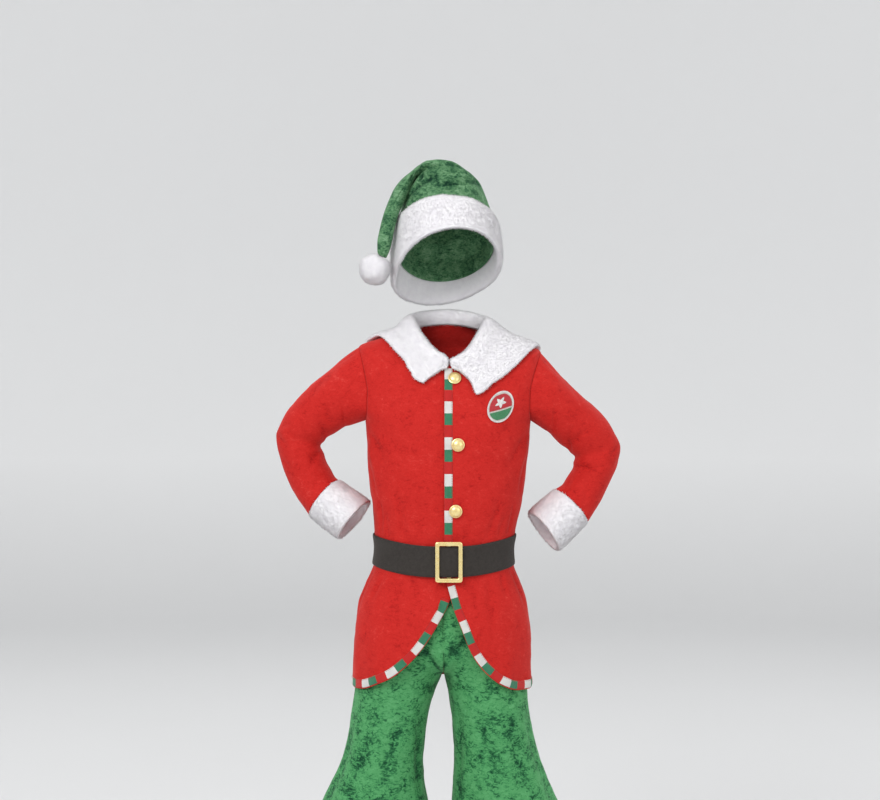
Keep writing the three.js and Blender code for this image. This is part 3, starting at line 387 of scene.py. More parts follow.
# A ring's level is its height at the wearer's sides. Its centre front lies lower by drop and its centre back
# higher by rise. half is half its width, front and back its reach each way, and shift its middle's x.
TORSO = Table("""
level half front back power shift drop rise
-560   137  111 107 2.2   -8  0 0
-488 137.5  109 104 2.2 -7.5  0 0
-450   136  106 101 2.2 -6.5  3 2
-403   130  101  95 2.2 -6.5  8 4
-372   119   93  86 2.2   -6 11 5
-344 107.5 88.5  78 2.2   -5 12 5
-320 105.4 87.5  75 2.2 -4.3 12 5
-297 108.5   89  77 2.2 -3.5 12 5
-250   116   94  81 2.3    0  8 3
-200   122   97  85 2.3    0  7 0
-150   126   97  88 2.3  1.8 16 0
-124   128   96  89 2.3  1.8 24 0
 -98   137 93.5  90 2.3  1.8 33 0
 -69   141   89  88 2.3  2.5 42 0
 -40   143   82  84 2.3    3 49 0
 -14   140   73  78 2.3    4 54 2
   2   100   65  68 2.2    4 55 5
  17    56   58  58   2    3 54 8
""")
ARMHOLE = Table("""
level reach
-124   128
 -98 124.5
 -69 124.5
 -40 130.5
 -14   140
""")
SKIRT_FOLDS = Table("""
around width proud
 18  9   3
 47  8 2.5
132  9   3
160  8 2.5
205  9   4
240 10 4.5
278 10   4
318 10 4.5
345  8   3
""")
JACKET_CREASES = Table("""
around along to_around to_along bow width depth
# Puckers that the belt draws in above it
 28 -296  31 -246   2   5 -2.6
 43 -297  40 -262  -2   4 -1.8
 57 -297  52 -232   4   6 -2.2
 74 -298  77 -262   1 4.5 -1.5
108 -298 104 -258  -2   5 -1.7
124 -297 127 -226   3   6 -2.4
139 -297 143 -258  -2 4.5 -1.9
153 -296 150 -238   3 5.5 -2.6
176 -296 174 -240   2   6 -2.4
194 -296 197 -250  -3   6 -2.8
214 -297 210 -222   5   7 -3.2
231 -297 233 -256  -2   5 -2.2
249 -297 246 -236   3   6 -2.8
266 -297 268 -262   2   5   -2
284 -297 288 -228  -4   7   -3
303 -297 300 -256   2   5 -2.2
321 -297 325 -232  -4 6.5   -3
340 -296 338 -252   2   5 -2.4
  2 -296   4 -236   3   6 -2.6
# and below it
 22 -348  18 -412  -3   6   -3
 38 -348  41 -386   2   5 -2.2
 54 -348  58 -436   4   7 -2.6
 71 -348  69 -384   2   5 -1.8
112 -348 108 -392  -3 5.5   -2
127 -348 121 -446  -5   7 -2.8
144 -348 147 -396   2   5 -2.4
168 -348 170 -424   3 6.5   -3
188 -348 186 -410  -3   6 -2.8
204 -348 200 -452  -4   7 -3.2
222 -348 226 -398   3   6 -2.6
241 -348 238 -464  -5 7.5 -3.4
259 -348 262 -404   2   6 -2.4
276 -348 280 -456   5 7.5 -3.2
297 -348 294 -400  -3   6 -2.6
315 -348 320 -458   5   7 -3.2
334 -348 331 -404  -2   6 -2.6
352 -348 356 -432   4 6.5   -3
# Drag lines from the underarms, the shoulders and the buttoned edge
 14 -140  44 -190  10   9 -2.6
 12 -158  30 -214   8   8  1.8
  8 -176  24 -236   6   7   -2
168 -140 138 -186 -10   9 -2.4
170 -158 150 -216  -8   8  1.6
172 -178 156 -240  -6   7   -2
 46  -96  62 -140  -6   8 -1.3
118 -158 140 -132   5   9 -1.4
 98 -212 126 -204  -4   8 -1.3
 60 -168  82 -176   4   8 -1.2
# The back, slack between the shoulder blades and above the belt
206  -98 254 -118  -9  10 -2.8
286 -112 336  -96   9  10 -2.6
222 -150 268 -164  -8  11  2.2
196 -146 214 -222   8   9   -3
345 -146 326 -224  -8   9   -3
262 -186 312 -176   8  11 -2.4
238 -206 286 -214  -7  10    2
258  -40 262  -96   4   9 -1.6
""")
JACKET_DEGREE = 1.95


def folds_at(folds, around):
    return sum(f["proud"] * np.exp(-((apart(around, f["around"]) / f["width"]) ** 2)) for f in folds.each())


def torso_base(theta, level):
    theta, level = np.broadcast_arrays(np.asarray(theta, float), np.asarray(level, float))
    ring = TORSO.at(level)
    across, deep = np.cos(np.radians(theta)), np.sin(np.radians(theta))
    x = ring["half"] * signed_power(across, 2 / ring["power"])
    y = np.where(deep > 0, -ring["front"], ring["back"]) * np.abs(deep) ** (2 / ring["power"])
    bend = np.where(deep > 0, -ring["drop"], ring["rise"]) * deep**2
    lean = 0.03 * smooth(level, UNDERARM_LEVEL, 0)
    swing = folds_at(SKIRT_FOLDS, theta) * smooth(-level, -BELT_FOOT + 12, -HEM_LEVEL)
    spread = 1 + swing / np.hypot(x, y)
    x = ring["shift"] + x * spread
    return stack(x, y * spread, level + bend - lean * x)


def torso_normal(theta, level):
    around = torso_base(theta + 1, level) - torso_base(theta - 1, level)
    up = torso_base(theta, level + 1) - torso_base(theta, level - 1)
    return unit(np.cross(up, around))


def torso_relief(theta, level):
    """How far the jacket's cloth stands out from its smooth form. It lies flat under the belt."""
    base = torso_base(theta, level)
    slack = 1 - smooth(level, BELT_FOOT - 22, BELT_FOOT) * (1 - smooth(level, BELT_TOP, BELT_TOP + 22))
    hanging = 1 + 0.5 * smooth(-level, 360, 500)
    return creases(theta, level, JACKET_CREASES, JACKET_DEGREE) + slack * hanging * (rumple(base, 3) - 0.3)


def torso(theta, level, out=0.0):
    lift = np.asarray(out + torso_relief(theta, level))[..., None]
    return torso_base(theta, level) + torso_normal(theta, level) * lift


def front_angle(x, level):
    """The angle at which a ring of the body passes a given x, in front of the wearer."""
    ring = TORSO.at(level)
    share = np.clip((x - ring["shift"]) / ring["half"], -1, 1)
    return np.degrees(np.arccos(signed_power(share, ring["power"] / 2)))


HEM_LEFT = Table("""
x z
  -4   -354
-0.5   -368
   3   -381
10.5   -406
20.8 -431.5
31.5   -459
44.4   -482
  61   -502
82.5   -519
 110   -530
 140   -532
""")
HEM_RIGHT = Table("""
x z
 -160   -532
 -129 -528.5
 -105 -517.5
  -83 -506.5
  -62   -489
  -42   -468
-25.5   -445
-10.3   -420
    1   -398
  9.5   -377
   20   -354
""")


def hem_level(hem, theta):
    level = np.full(np.shape(theta), HEM_LEVEL)
    for _ in range(8):
        point = torso_base(theta, level)
        level = level + 0.8 * (hem.at(point[..., 0])["z"] - point[..., 2])
    return level


def side_angle(level, side):
    """The angle of a panel's side edge at a level: its side or shoulder seam, or the armhole between them."""
    ring = TORSO.at(level)
    in_armhole = (level > UNDERARM_LEVEL) & (level < SHOULDER_LEVEL)
    reach = np.where(in_armhole, ARMHOLE.at(level)["reach"], ring["half"])
    gap = np.degrees(SEAM / 2 / ring["half"])
    return front_angle(ring["shift"] + side * reach, level) + np.where(in_armhole, 0, side * gap)


def lap_sink(x, level):
    """The lower front sinks below the upper one where they lap, with room for its binding under the belt."""
    below = smooth(-level, -BELT_TOP, -SPLIT_LEVEL)
    depth = VELVET + 2 * SEAM + below * (BINDING_THICK + 2 * SEAM)
    return -(depth + 0.1) * smooth(x, OVERLAP_EDGE - 14, OVERLAP_EDGE - 1)


# Rows of the body's panels: those of the skirt, and those up from the split below the belt, which lie closer
# over the shoulders
SKIRT_ROWS = 56
BODY_LEVELS = np.concatenate(
    [np.linspace(SPLIT_LEVEL, SHOULDER_LEVEL, 108), np.linspace(SHOULDER_LEVEL, NECK_LEVEL, 28)[1:]]
)
BODY_INSIDE = np.array([0.0, 0.0, -300.0])
FRONT_COLUMNS, FRONT_WIDTH = 46, 140
BACK_COLUMNS, BACK_WIDTH = 76, 290


def seam_dip(share, width):
    """How the cloth turns in at a sewn edge, by the share of the panel's width that lies before the edge."""
    away = share * width
    return -1.1 * np.exp(-((away / 2.6) ** 2)) + 0.35 * np.exp(-(((away - 5) / 2.5) ** 2))


def body_panel(name, angles, hem, place, material):
    """A panel of the jacket's body, with angles for each of its rows. Below the split its columns run
    straight down to the hem.
    """
    low = angles[:, :1]
    foot = hem(low)
    skirt = mix(foot, SPLIT_LEVEL, np.linspace(0, 1, SKIRT_ROWS + 1)[:-1])
    theta = np.concatenate([np.broadcast_to(low, skirt.shape), angles], 1)
    level = np.concatenate([skirt, np.broadcast_to(BODY_LEVELS, angles.shape)], 1)
    grid = place(theta, level)
    inner = grid - grid_normals(grid, False, BODY_INSIDE) * VELVET
    relief = creases(theta, level, JACKET_CREASES, JACKET_DEGREE)
    return wall(name, grid, inner, False, material, relief=relief), grid


def front_panel(name, side, edge, hem, material):
    share = np.linspace(0, 1, FRONT_COLUMNS)[:, None]
    angles = mix(front_angle(edge, BODY_LEVELS), side_angle(BODY_LEVELS, side), share)

    def place(theta, level):
        sink = lap_sink(torso_base(theta, level)[..., 0], level) if side < 0 else 0.0
        return torso(theta, level, seam_dip(1 - share, FRONT_WIDTH) + sink)

    return body_panel(name, angles, lambda theta: hem_level(hem, theta), place, material)


def back_panel(name, material):
    share = np.linspace(0, 1, BACK_COLUMNS)[:, None]
    angles = mix(360 - side_angle(BODY_LEVELS, -1), 360 - side_angle(BODY_LEVELS, 1), share)

    def place(theta, level):
        return torso(theta, level, seam_dip(share, BACK_WIDTH) + seam_dip(1 - share, BACK_WIDTH))

    return body_panel(name, angles, lambda theta: np.full(theta.shape, HEM_LEVEL), place, material)


# The sleeves

# Rings of a tube, each by the two points of its outline as seen from the front, its middle's y and its depth
SLEEVE_RIGHT = Table("""
step outerX outerZ innerX innerZ y depth
 1 -157  -24 -141 -129  0 98
 2 -178  -43 -153 -133  2 90
 3 -203  -63 -163 -137  6 84
 4 -229  -88 -176 -145 12 80
 5 -252 -117 -189 -154 18 77
 6 -266 -150 -196 -164 24 75
 7 -261 -181 -191 -180 25 74
 8 -250 -212 -182 -198 25 73
 9 -235 -243 -175 -212 23 72
10 -214 -272 -169 -217 20 71
""")
SLEEVE_LEFT = Table("""
step outerX outerZ innerX innerZ y depth
 1 162  -40 143 -133  0 98
 2 181  -60 154 -141  2 90
 3 205  -83 164 -150  6 84
 4 231 -106 176 -161 12 80
 5 254 -133 190 -172 18 77
 6 270 -167 199 -182 24 75
 7 266 -193 198 -194 25 74
 8 254 -219 190 -209 25 73
 9 240 -249 180 -225 23 72
10 218 -283 168 -232 20 71
""")
CUFF_END_RIGHT = {"outerX": -167, "outerZ": -308, "innerX": -121, "innerZ": -250, "y": 12, "depth": 77}
CUFF_END_LEFT = {"outerX": 172.5, "outerZ": -327, "innerX": 128, "innerZ": -267, "y": 12, "depth": 77}
CUFF_SLANT = 8.0  # how far the front of the sleeve's lower rings and of the cuff is pushed back up the arm

# The deep folds at the bend of the elbow, as in the solids: step along the sleeve, angle round it from its
# outer side over its front, and their size
SLEEVE_FOLDS = Table("""
step around length width proud
2.4 200 0.5 45   -4
4.6 170 0.5 50   -3
5.4 200 0.4 45  2.4
6.1 196 0.4 46 -3.4
6.8 190 0.4 48  2.2
7.6 190 0.5 45 -2.6
5.8  90 0.5 35   -3
""")
# Finer creases, with along as the step times the length of a step
SLEEVE_STEP = 33.0
SLEEVE_DEGREE = 0.72
SLEEVE_SPOKES, SLEEVE_RINGS, CAP_RINGS = 92, 96, 16
SLEEVE_CREASES_LEFT = Table("""
around along to_around to_along bow width depth
174 168  98 118  6   6 -3.2
168 156  66 150  9 6.5 -2.6
174 222  78 238 -6   6 -2.6
176 186 128 120  3   5 -2.2
150  92  96  62  4   6 -2.2
140  60  76  40  4   5 -1.8
 60 214  20 190  4   6   -2
 40 232   8 214 -3   5 -1.6
110 276  70 320  4   5 -1.8
150 262 128 316 -3   5   -2
186 214 256 160 -7 6.5 -2.8
192 226 280 206  6 6.5 -2.4
196 222 262 262  5   6 -2.6
220  84 268  52 -5   7 -2.4
300 120 330 168  4   6 -1.8
300 262 330 306  4   6   -2
 20  60  40 110  4   7 -1.4
""")
SLEEVE_CREASES_RIGHT = Table("""
around along to_around to_along bow width depth
  4 196  66 216 -5   7   -3
 10 178  58 170  4   5   -2
178 216 104 226 -6 6.5 -2.8
172 172 106 132  6   6   -3
168 212  96 262  6   6 -2.4
156  84 104  58  4   6 -2.2
134 118  84  96 -4   6 -1.6
 52 250  18 232  4   5 -1.6
112 284  86 322  3   5 -1.8
186 212 250 164 -7 6.5 -2.6
192 226 276 216  6 6.5 -2.4
200 230 262 276  5   6 -2.4
214  78 262  56 -5   7 -2.2
296 130 334 176  4   6   -2
306 250 336 300  4   6 -1.8
 30  66  52 118  4   7 -1.4
""")


def section_ring(row, around, grow=0.0, pitch=0.0, slant=0.0):
    """Points of a ring: angle 0 at its outer outline point, 90 at the front, 180 at its inner outline point.
    slant is how far its front is pushed back up the tube.
    """
    outer = stack(row["outerX"], row["y"], row["outerZ"])
    inner = stack(row["innerX"], row["y"], row["innerZ"])
    turn, tilt = np.radians(around), np.radians(pitch)
    deep = stack(0.0, -np.cos(tilt), np.sin(tilt)) * np.asarray(row["depth"] / 2)[..., None]
    across = outer - inner
    rise = unit(stack(-across[..., 2], 0.0, across[..., 0]))
    deep = deep + np.asarray(slant)[..., None] * rise * np.sign(rise[..., 2:])
    out = (outer - inner) / 2 * np.cos(turn)[..., None] + deep * np.sin(turn)[..., None]
    length = np.linalg.norm(out, axis=-1, keepdims=True)
    return (outer + inner) / 2 + out * (1 + np.asarray(grow)[..., None] / length)


def step_folds(folds, step, around):
    total = 0.0
    for fold in folds.each():
        along = (step - fold["step"]) / fold["length"]
        across = apart(around, fold["around"]) / fold["width"]
        total = total + fold["proud"] * np.exp(-(along**2) - across**2)
    return total


def hermite(start, leave, end, arrive, t):
    """Points from start to end, leaving and arriving in the given directions."""
    return (
        (2 * t**3 - 3 * t**2 + 1) * start
        + (t**3 - 2 * t**2 + t) * leave
        + (3 * t**2 - 2 * t**3) * end
        + (t**3 - t**2) * arrive
    )


def sleeve(name, table, side, folds, material):
    around = circle(SLEEVE_SPOKES)[:, None]
    # The cloth is drawn smoother along the inside of the bent arm.
    calm = 1 - 0.65 * np.exp(-((apart(around, 180) / 38) ** 2))

    def fine_creases(step):
        return creases(around, step * SLEEVE_STEP, folds, SLEEVE_DEGREE)

    def rings(step):
        smooth_form = section_ring(table.at(step), around)
        relief = calm * (step_folds(SLEEVE_FOLDS, step, around) + fine_creases(step))
        slant = CUFF_SLANT * smooth(step, 7.8, 10)
        return section_ring(table.at(step), around, relief + 1.1 * rumple(smooth_form, 5), slant=slant)

    level = mix(UNDERARM_LEVEL, SHOULDER_LEVEL, 0.5 + 0.5 * np.cos(np.radians(around)))
    angle = side_angle(level, side)
    edge = torso(np.where(around <= 180, angle, 360 - angle), level, seam_dip(0, 1))
    edge[..., 0] += side * SEAM
    # From the armhole the cloth swells out over a few soft gathers, then runs on down the arm.
    cap_end = 1.7
    first, ahead = rings(np.array([[cap_end]])), rings(np.array([[cap_end + 0.1]]))
    leave = rings(np.array([[1.0]])) - edge
    t = np.linspace(0, 1, CAP_RINGS + 1)[None, :-1, None]
    cap = hermite(edge, leave * 1.25, first, (ahead - first) * 9, t)
    gathers = 0.6 * np.sin(np.radians(around * 13)) + 0.45 * np.sin(np.radians(around * 29 + 40))
    at_top = np.cos(np.radians(around / 2)) ** 2
    outward = unit(np.cross(np.roll(edge, -1, 0) - np.roll(edge, 1, 0), leave))
    outward = outward * np.sign((outward * (edge - edge.mean(0))).sum(-1, keepdims=True))
    cap = cap + np.sin(np.pi * t) * (gathers * at_top)[..., None] * outward
    steps = np.linspace(cap_end, 10, SLEEVE_RINGS)[None, :]
    grid = np.concatenate([cap, rings(steps)], 1)
    relief = np.zeros(grid.shape[:2])
    relief[:, CAP_RINGS:] = calm * fine_creases(steps)
    normals = grid_normals(grid, True, grid.mean(0, keepdims=True))
    normals[:, 0] = unit(normals[:, 0] * np.array([0.0, 1.0, 1.0]))
    return wall(name, grid, grid - normals * VELVET, True, material, relief=relief), grid


def pile_ring_grid(first, second, thick):
    """A thick padded ring between two rings of points, as a closed grid of section loops."""
    axis = unit(second.mean(0) - first.mean(0))
    out = first - first.mean(0)
    out = unit(out - (out @ axis)[:, None] * axis)
    turn = np.radians(circle(26))
    along = 0.5 - 0.5 * signed_power(np.cos(turn), 0.45)
    proud = -0.4 + 0.6 * signed_power(np.sin(turn), 0.6)
    base = first[:, None] + (second - first)[:, None] * along[None, :, None]
    return base + out[:, None] * (proud * thick)[None, :, None], np.broadcast_to(proud, base.shape[:2])


def plush_ring(name, first, second, thick, material, pile, seed):
    grid, proud = pile_ring_grid(first, second, thick)
    outward = unit(grid - grid.mean((0, 1)))
    soft = 0.9 * noise(grid, 26, seed) + 0.5 * noise(grid, 11, seed + 1)
    grid = grid + outward * soft[..., None]
    points = grid.reshape(-1, 3)
    quads = facing_out(points, ring_faces(*grid.shape[:2]))
    cover = smooth(proud.ravel(), -0.95, -0.6) * 0.9 + 0.1
    return pile_mesh(name, points, quads, material, pile, seed, (0, 0, -0.25), cover)


# The collar

# Each rib starts at an angle of the neck, stands up by stand and ends at an angle and a level of the edge.
COLLAR = Table("""
around edgeAround edgeLevel stand
   91  92.5     9  5
 95.5  97.5     5  8
 98.5 103.5 -17.5 10
  110   114    -7 11
  135   131     0 13
  165   157     1 15
  182   178    -1 16
  205   203   -10 18
  238   238   -30 20
  270   270   -42 21
  302   302   -32 20
  335   337   -16 18
  358   362    -9 16
  375   385    -8 15
  405   409   -11 11
  426   425   -20  7
  441 436.4   -36  6
444.5   442     4  5
  449 447.5     9  4
""")


def centripetal(points, t):
    """Points and directions on a curve through points[..., k, :], at places t from 0 to 1."""
    count = points.shape[-2]
    before = 2 * points[..., :1, :] - points[..., 1:2, :]
    after = 2 * points[..., -1:, :] - points[..., -2:-1, :]
    p = np.concatenate([before, points, after], -2)
    place = np.asarray(t) * (count - 1)
    k = np.clip(np.floor(place).astype(int), 0, count - 2)
    s = (place - k)[..., None]
    p0, p1, p2, p3 = (p[..., k + shift, :] for shift in range(4))
    d0, d1, d2 = (np.sqrt(np.linalg.norm(gap, axis=-1, keepdims=True)) for gap in (p1 - p0, p2 - p1, p3 - p2))
    m1 = ((p1 - p0) / d0 - (p2 - p0) / (d0 + d1) + (p2 - p1) / d1) * d1
    m2 = ((p2 - p1) / d1 - (p3 - p1) / (d1 + d2) + (p3 - p2) / d2) * d1
    c2 = -3 * p1 + 3 * p2 - 2 * m1 - m2
    c3 = 2 * p1 - 2 * p2 + m1 + m2
    return p1 + s * (m1 + s * (c2 + s * c3)), m1 + s * (2 * c2 + s * 3 * c3)


def collar(name, material):
    # The ribs stand closer where the fall begins, beside the two front ends.
    spans = [(91, 95, 7), (95, 101, 26), (101, 438, 250), (438, 446, 30), (446, 449, 5)]
    around = np.unique(np.concatenate([np.linspace(*span) for span in spans]))
    ribs, stations = len(around), 30
    rib = COLLAR.at(around)
    foot = torso_base(around, NECK_LEVEL)
    out = unit((foot - np.array([3.0, 0.0, 0.0])) * np.array([1.0, 1.0, 0.0]))

    def raised(height, away):
        return foot + out * away + stack(0.0, 0.0, height)

    def fallen(t):
        theta, level = mix(around, rib["edgeAround"], t), mix(NECK_LEVEL, rib["edgeLevel"], t)
        lift = PLUSH / 2 + 2.7 + 0.35 * torso_relief(theta, level)
        return torso_base(theta, level) + torso_normal(theta, level) * lift[:, None]

    stand = rib["stand"]
    spine = np.stack(
        [raised(SEAM + 1, -1), raised(stand * 0.6, -2), raised(stand, 2), raised(stand * 0.9, 8)]
        + [fallen(t) for t in (0.45, 0.75, 1)],
        1,
    )
    t = np.linspace(0, 1, stations)
    points, along = centripetal(spine, t)
    side = unit(torso_base(around + 1, NECK_LEVEL) - torso_base(around - 1, NECK_LEVEL))[:, None]
    normal = unit(np.cross(side, along))
    # The padded edge tapers all round: along the collar's fall and at its two front ends.
    ends = np.minimum(np.arange(ribs), np.arange(ribs)[::-1])[:, None]
    round_off = np.sqrt(np.clip(1 - (1 - np.clip(ends / 5, 0, 1)) ** 2, 0.04, 1))
    edge_off = np.sqrt(np.clip(1 - smooth(t, 0.93, 1.03) * 0.95, 0.04, 1))
    half = PLUSH / 2 * round_off * edge_off
    soft = 0.5 * noise(points, 30, 21) + 0.35 * noise(points, 12, 22)
    outer = points + normal * (half + soft)[..., None]
    inner = points - normal * (half - soft)[..., None]
    points, quads, _ = wall_parts(outer, inner, False)
    # The pile lies flat under the collar's fall, where it rests on the shoulders.
    cover = np.ones(len(points))
    rests = slice(ribs * stations, 2 * ribs * stations)
    cover[rests] = np.where(np.tile(t, ribs) > 0.55, 0.05, 1.0)
    return pile_mesh(name, points, quads, material, COLLAR_PILE, 31, (0, 0, -0.35), cover)


# Trim that lies on the jacket

def binding(name, edge, inner, marks, direction, material, sink):
    """A folded striped strip between two lines on the jacket's body, each given by angle and level. Each mark
    is a point by x and z and how far into the stripes' repeat it lies. The second one counts below the belt.
    """
    share = np.linspace(0, 1, 9)[None, :]
    theta = mix(edge[0][:, None], inner[0][:, None], share)
    level = mix(edge[1][:, None], inner[1][:, None], share)
    plump = BINDING_THICK * (0.3 + 0.85 * np.sqrt(np.clip(1 - (2 * share - 1) ** 4, 0, 1)))
    base = BINDING_STAND if sink is None else BINDING_STAND + sink(torso_base(theta, level)[..., 0], level)
    top, foot = torso(theta, level, base + plump), torso(theta, level, base)
    middle = top[:, 4]
    run = direction * run_lengths(middle)
    offsets = []
    for x, z, into in marks:
        nearest = np.argmin(np.hypot(middle[:, 0] - x, middle[:, 2] - z))
        offsets.append(into - run[nearest])
    offset = np.where(middle[:, 2] > BELT_FOOT + 16, offsets[0], offsets[-1])
    plan = ((run + offset)[:, None], share * BINDING_WIDTH)
    return wall(name, top, foot, False, material, plan), top


def hem_lines(hem, theta):
    """A hem's edge and the line a binding's width inside it, as angles and levels."""
    level = hem_level(hem, theta) + 1
    before = torso_base(theta - 1, hem_level(hem, theta - 1) + 1)
    after = torso_base(theta + 1, hem_level(hem, theta + 1) + 1)
    inward = unit(np.cross(unit(after - before), torso_normal(theta, level)))
    inward = inward * np.where(inward[:, 2] < 0, -1, 1)[:, None]
    step = torso_base(theta + 1, level) - torso_base(theta, level)
    degree = np.linalg.norm(step, axis=-1)
    turn = BINDING_WIDTH * (inward * step).sum(-1) / degree**2
    return (theta, level), (theta + turn, level + BINDING_WIDTH * inward[:, 2])


# A button's section, from its back over its rolled rim up its dome
BUTTON_SECTION = Table("""
out up
8.3 0
9.6 0.35
10 0.95
9.9 1.6
9.35 2
8.75 1.95
8.5 2.2
8.2 2.85
7.4 3.75
6 4.7
4.2 5.4
2.1 5.8
""")
BUTTON_HEIGHT = 5.95
BUTTON_SPOKES = 56


def button(name, x, level, material):
    """A domed button with a thin rolled rim, laid on the body."""
    turns = np.radians(circle(BUTTON_SPOKES))
    theta = front_angle(x, level)
    axis = torso_normal(theta, level)
    side = unit(np.cross(axis, [0.0, 0.0, 1.0]))
    up = np.cross(side, axis)
    seat = torso(theta, level, 0.6 + BINDING_THICK + SEAM)
    rings = BUTTON_SECTION.rows
    spokes = np.cos(turns)[:, None] * side + np.sin(turns)[:, None] * up
    points = seat + spokes[:, None] * rings[None, :, :1] + axis * rings[None, :, 1:]
    count = len(rings)
    points = np.concatenate([points.reshape(-1, 3), [seat], [seat + axis * BUTTON_HEIGHT]])
    quads = ring_faces(BUTTON_SPOKES, count, False)
    here = np.arange(BUTTON_SPOKES) * count
    after = np.roll(here, -1)
    pole = np.full(BUTTON_SPOKES, BUTTON_SPOKES * count)
    foot = np.stack([after, here, pole], -1)
    top = np.stack([here + count - 1, after + count - 1, pole + 1], -1)
    way = -1 if volume(points, quads) < 0 else 1
    return make_mesh(name, points, [part[:, ::way] for part in (quads, foot, top)], material)


PATCH = {"x": 80.0, "level": -71.0, "wide": 20.0, "tall": 31.0}


def patch_point(across, up, out):
    """A point on the patch, from -1 to 1 across and up."""
    level = PATCH["level"] + PATCH["tall"] * np.asarray(up)
    theta = front_angle(PATCH["x"] + PATCH["wide"] * np.asarray(across), level)
    flat = torso_base(theta, level)
    relief = 0.4 * torso_relief(theta, level)
    return flat + torso_normal(theta, level) * np.asarray(out + 0.5 + relief)[..., None]


def patch_plate(name, across, up, lift, thick, closed, material):
    """A thin embroidered plate of the patch between grids of places on it."""
    low = patch_point(across, up, lift)
    high = patch_point(across, up, lift + thick)
    return wall(name, high, low, closed, material)


PATCH_EDGE = 0.95  # the ground's edge, under the middle of the rim
PATCH_THICK = 0.9
FIELD_THICK = 0.55


def patch_ground(material):
    spokes = np.radians(circle(96))[:, None]
    radius = np.linspace(0.02, PATCH_EDGE, 16)[None, :]
    across, up = radius * np.cos(spokes), radius * np.sin(spokes)
    return patch_plate("chest_patch", across, up, 0.0, PATCH_THICK * np.ones((1, 16)), True, material)


def patch_field(name, low, high, material):
    """The part of the oval between two heights, filled with stitches in rows."""
    up = np.linspace(low, high, 24)[None, :]
    width = np.sqrt(np.clip(0.84**2 - up**2, 0.01, None))
    across = np.linspace(-1, 1, 30)[:, None] * width
    rows = 0.1 * np.sin(up * PATCH["tall"] * 2 * np.pi / 1.1)
    return patch_plate(name, across, up + 0 * across, PATCH_THICK, FIELD_THICK + rows, False, material)


def patch_star(material):
    turn = np.radians(circle(80))[:, None]
    point = np.abs(apart(np.degrees(turn) * 5 - 90, 0)) / 180
    reach = 0.2 + 0.24 * point**1.3
    share = np.linspace(0.03, 1, 8)[None, :]
    across = reach * share * np.cos(turn)
    up = 0.3 + reach * share * np.sin(turn) * PATCH["wide"] / PATCH["tall"] * 1.25
    return patch_plate("chest_patch_star", across, up, 1.4, 0.7 - 0.3 * share**2, True, material)


def patch_rim(material):
    """A cord of satin stitches round the patch, each a low ridge across it."""
    around = np.radians(circle(560))[:, None]
    section = np.radians(circle(10))[None, :]
    ridge = 1 + 0.12 * np.cos(around * 140)
    reach = PATCH_EDGE + 0.055 * np.cos(section) * ridge
    lift = 0.75 + 0.85 * np.sin(section) * ridge
    grid = patch_point(reach * np.cos(around), reach * np.sin(around), lift)
    points = grid.reshape(-1, 3)
    return make_mesh("chest_patch_rim", points, [facing_out(points, ring_faces(*grid.shape[:2]))], material)


# The belt and its buckle

BELT_LAP = 24.0
BELT_STAND = 0.6
BUCKLE_MIDDLE = (2.5, -334.0)
BUCKLE_WIDE = 41.0
BUCKLE_TALL = 61.0
BUCKLE_BAR = 6.3
BUCKLE_DEEP = 3.4
BUCKLE_FRONT = 89.6  # how far forward the body reaches behind it
ROD_WIDE = 6.0
ROD_THICK = 1.6
BUCKLE_ROOM = BELT_STAND + BINDING_THICK + 2 * SEAM + ROD_THICK + SEAM
# Across a bar of the frame: the distance in from its outer edge and the height, as shares of bar and depth
BUCKLE_SECTION = Table("""
share height
0 0.08
0 0.5
0.03 0.74
0.11 0.9
0.24 0.98
0.5 1
0.76 0.98
0.89 0.9
0.97 0.74
1 0.5
1 0.08
0.94 0
0.06 0
""")


def belt_out(turn, level):
    """How far the belt stands off the body: further over the buckle's rod and where it laps at the back."""
    near = 1 - smooth(np.abs(turn - 180) / 24, 0.55, 1.7)
    lap = smooth(turn, 350, 360) * (BELT_THICK + SEAM + 0.3)
    room = BUCKLE_FRONT + BUCKLE_ROOM - TORSO.at(level)["front"]
    return mix(BELT_STAND, room, near) + lap


def belt(name, material):
    turn = np.linspace(0, 360 + BELT_LAP, 300)[:, None]
    level = np.linspace(BELT_FOOT, BELT_TOP, 17)[None, :]
    share = (level - BELT_FOOT) / (BELT_TOP - BELT_FOOT)
    theta = (270 + turn) % 360
    base, normal = torso_base(theta, level), torso_normal(theta, level)
    # The felt rolls a little at its edges and is pressed in a line just inside them.
    edge = np.minimum(share, 1 - share) * (BELT_TOP - BELT_FOOT)
    roll = -0.7 * np.exp(-((edge / 1.4) ** 2)) - 0.25 * np.exp(-(((edge - 3.6) / 0.7) ** 2))
    clear = smooth(np.abs(turn - 180), 14, 26)
    wave = clear * (0.5 * noise(base, 60, 41) + 0.25 * noise(base, 22, 42))
    out = belt_out(turn, level) + wave * 0.8
    top = base + normal * (out + BELT_THICK + roll)[..., None]
    foot = base + normal * out[..., None]
    return wall(name, top, foot, False, material), top


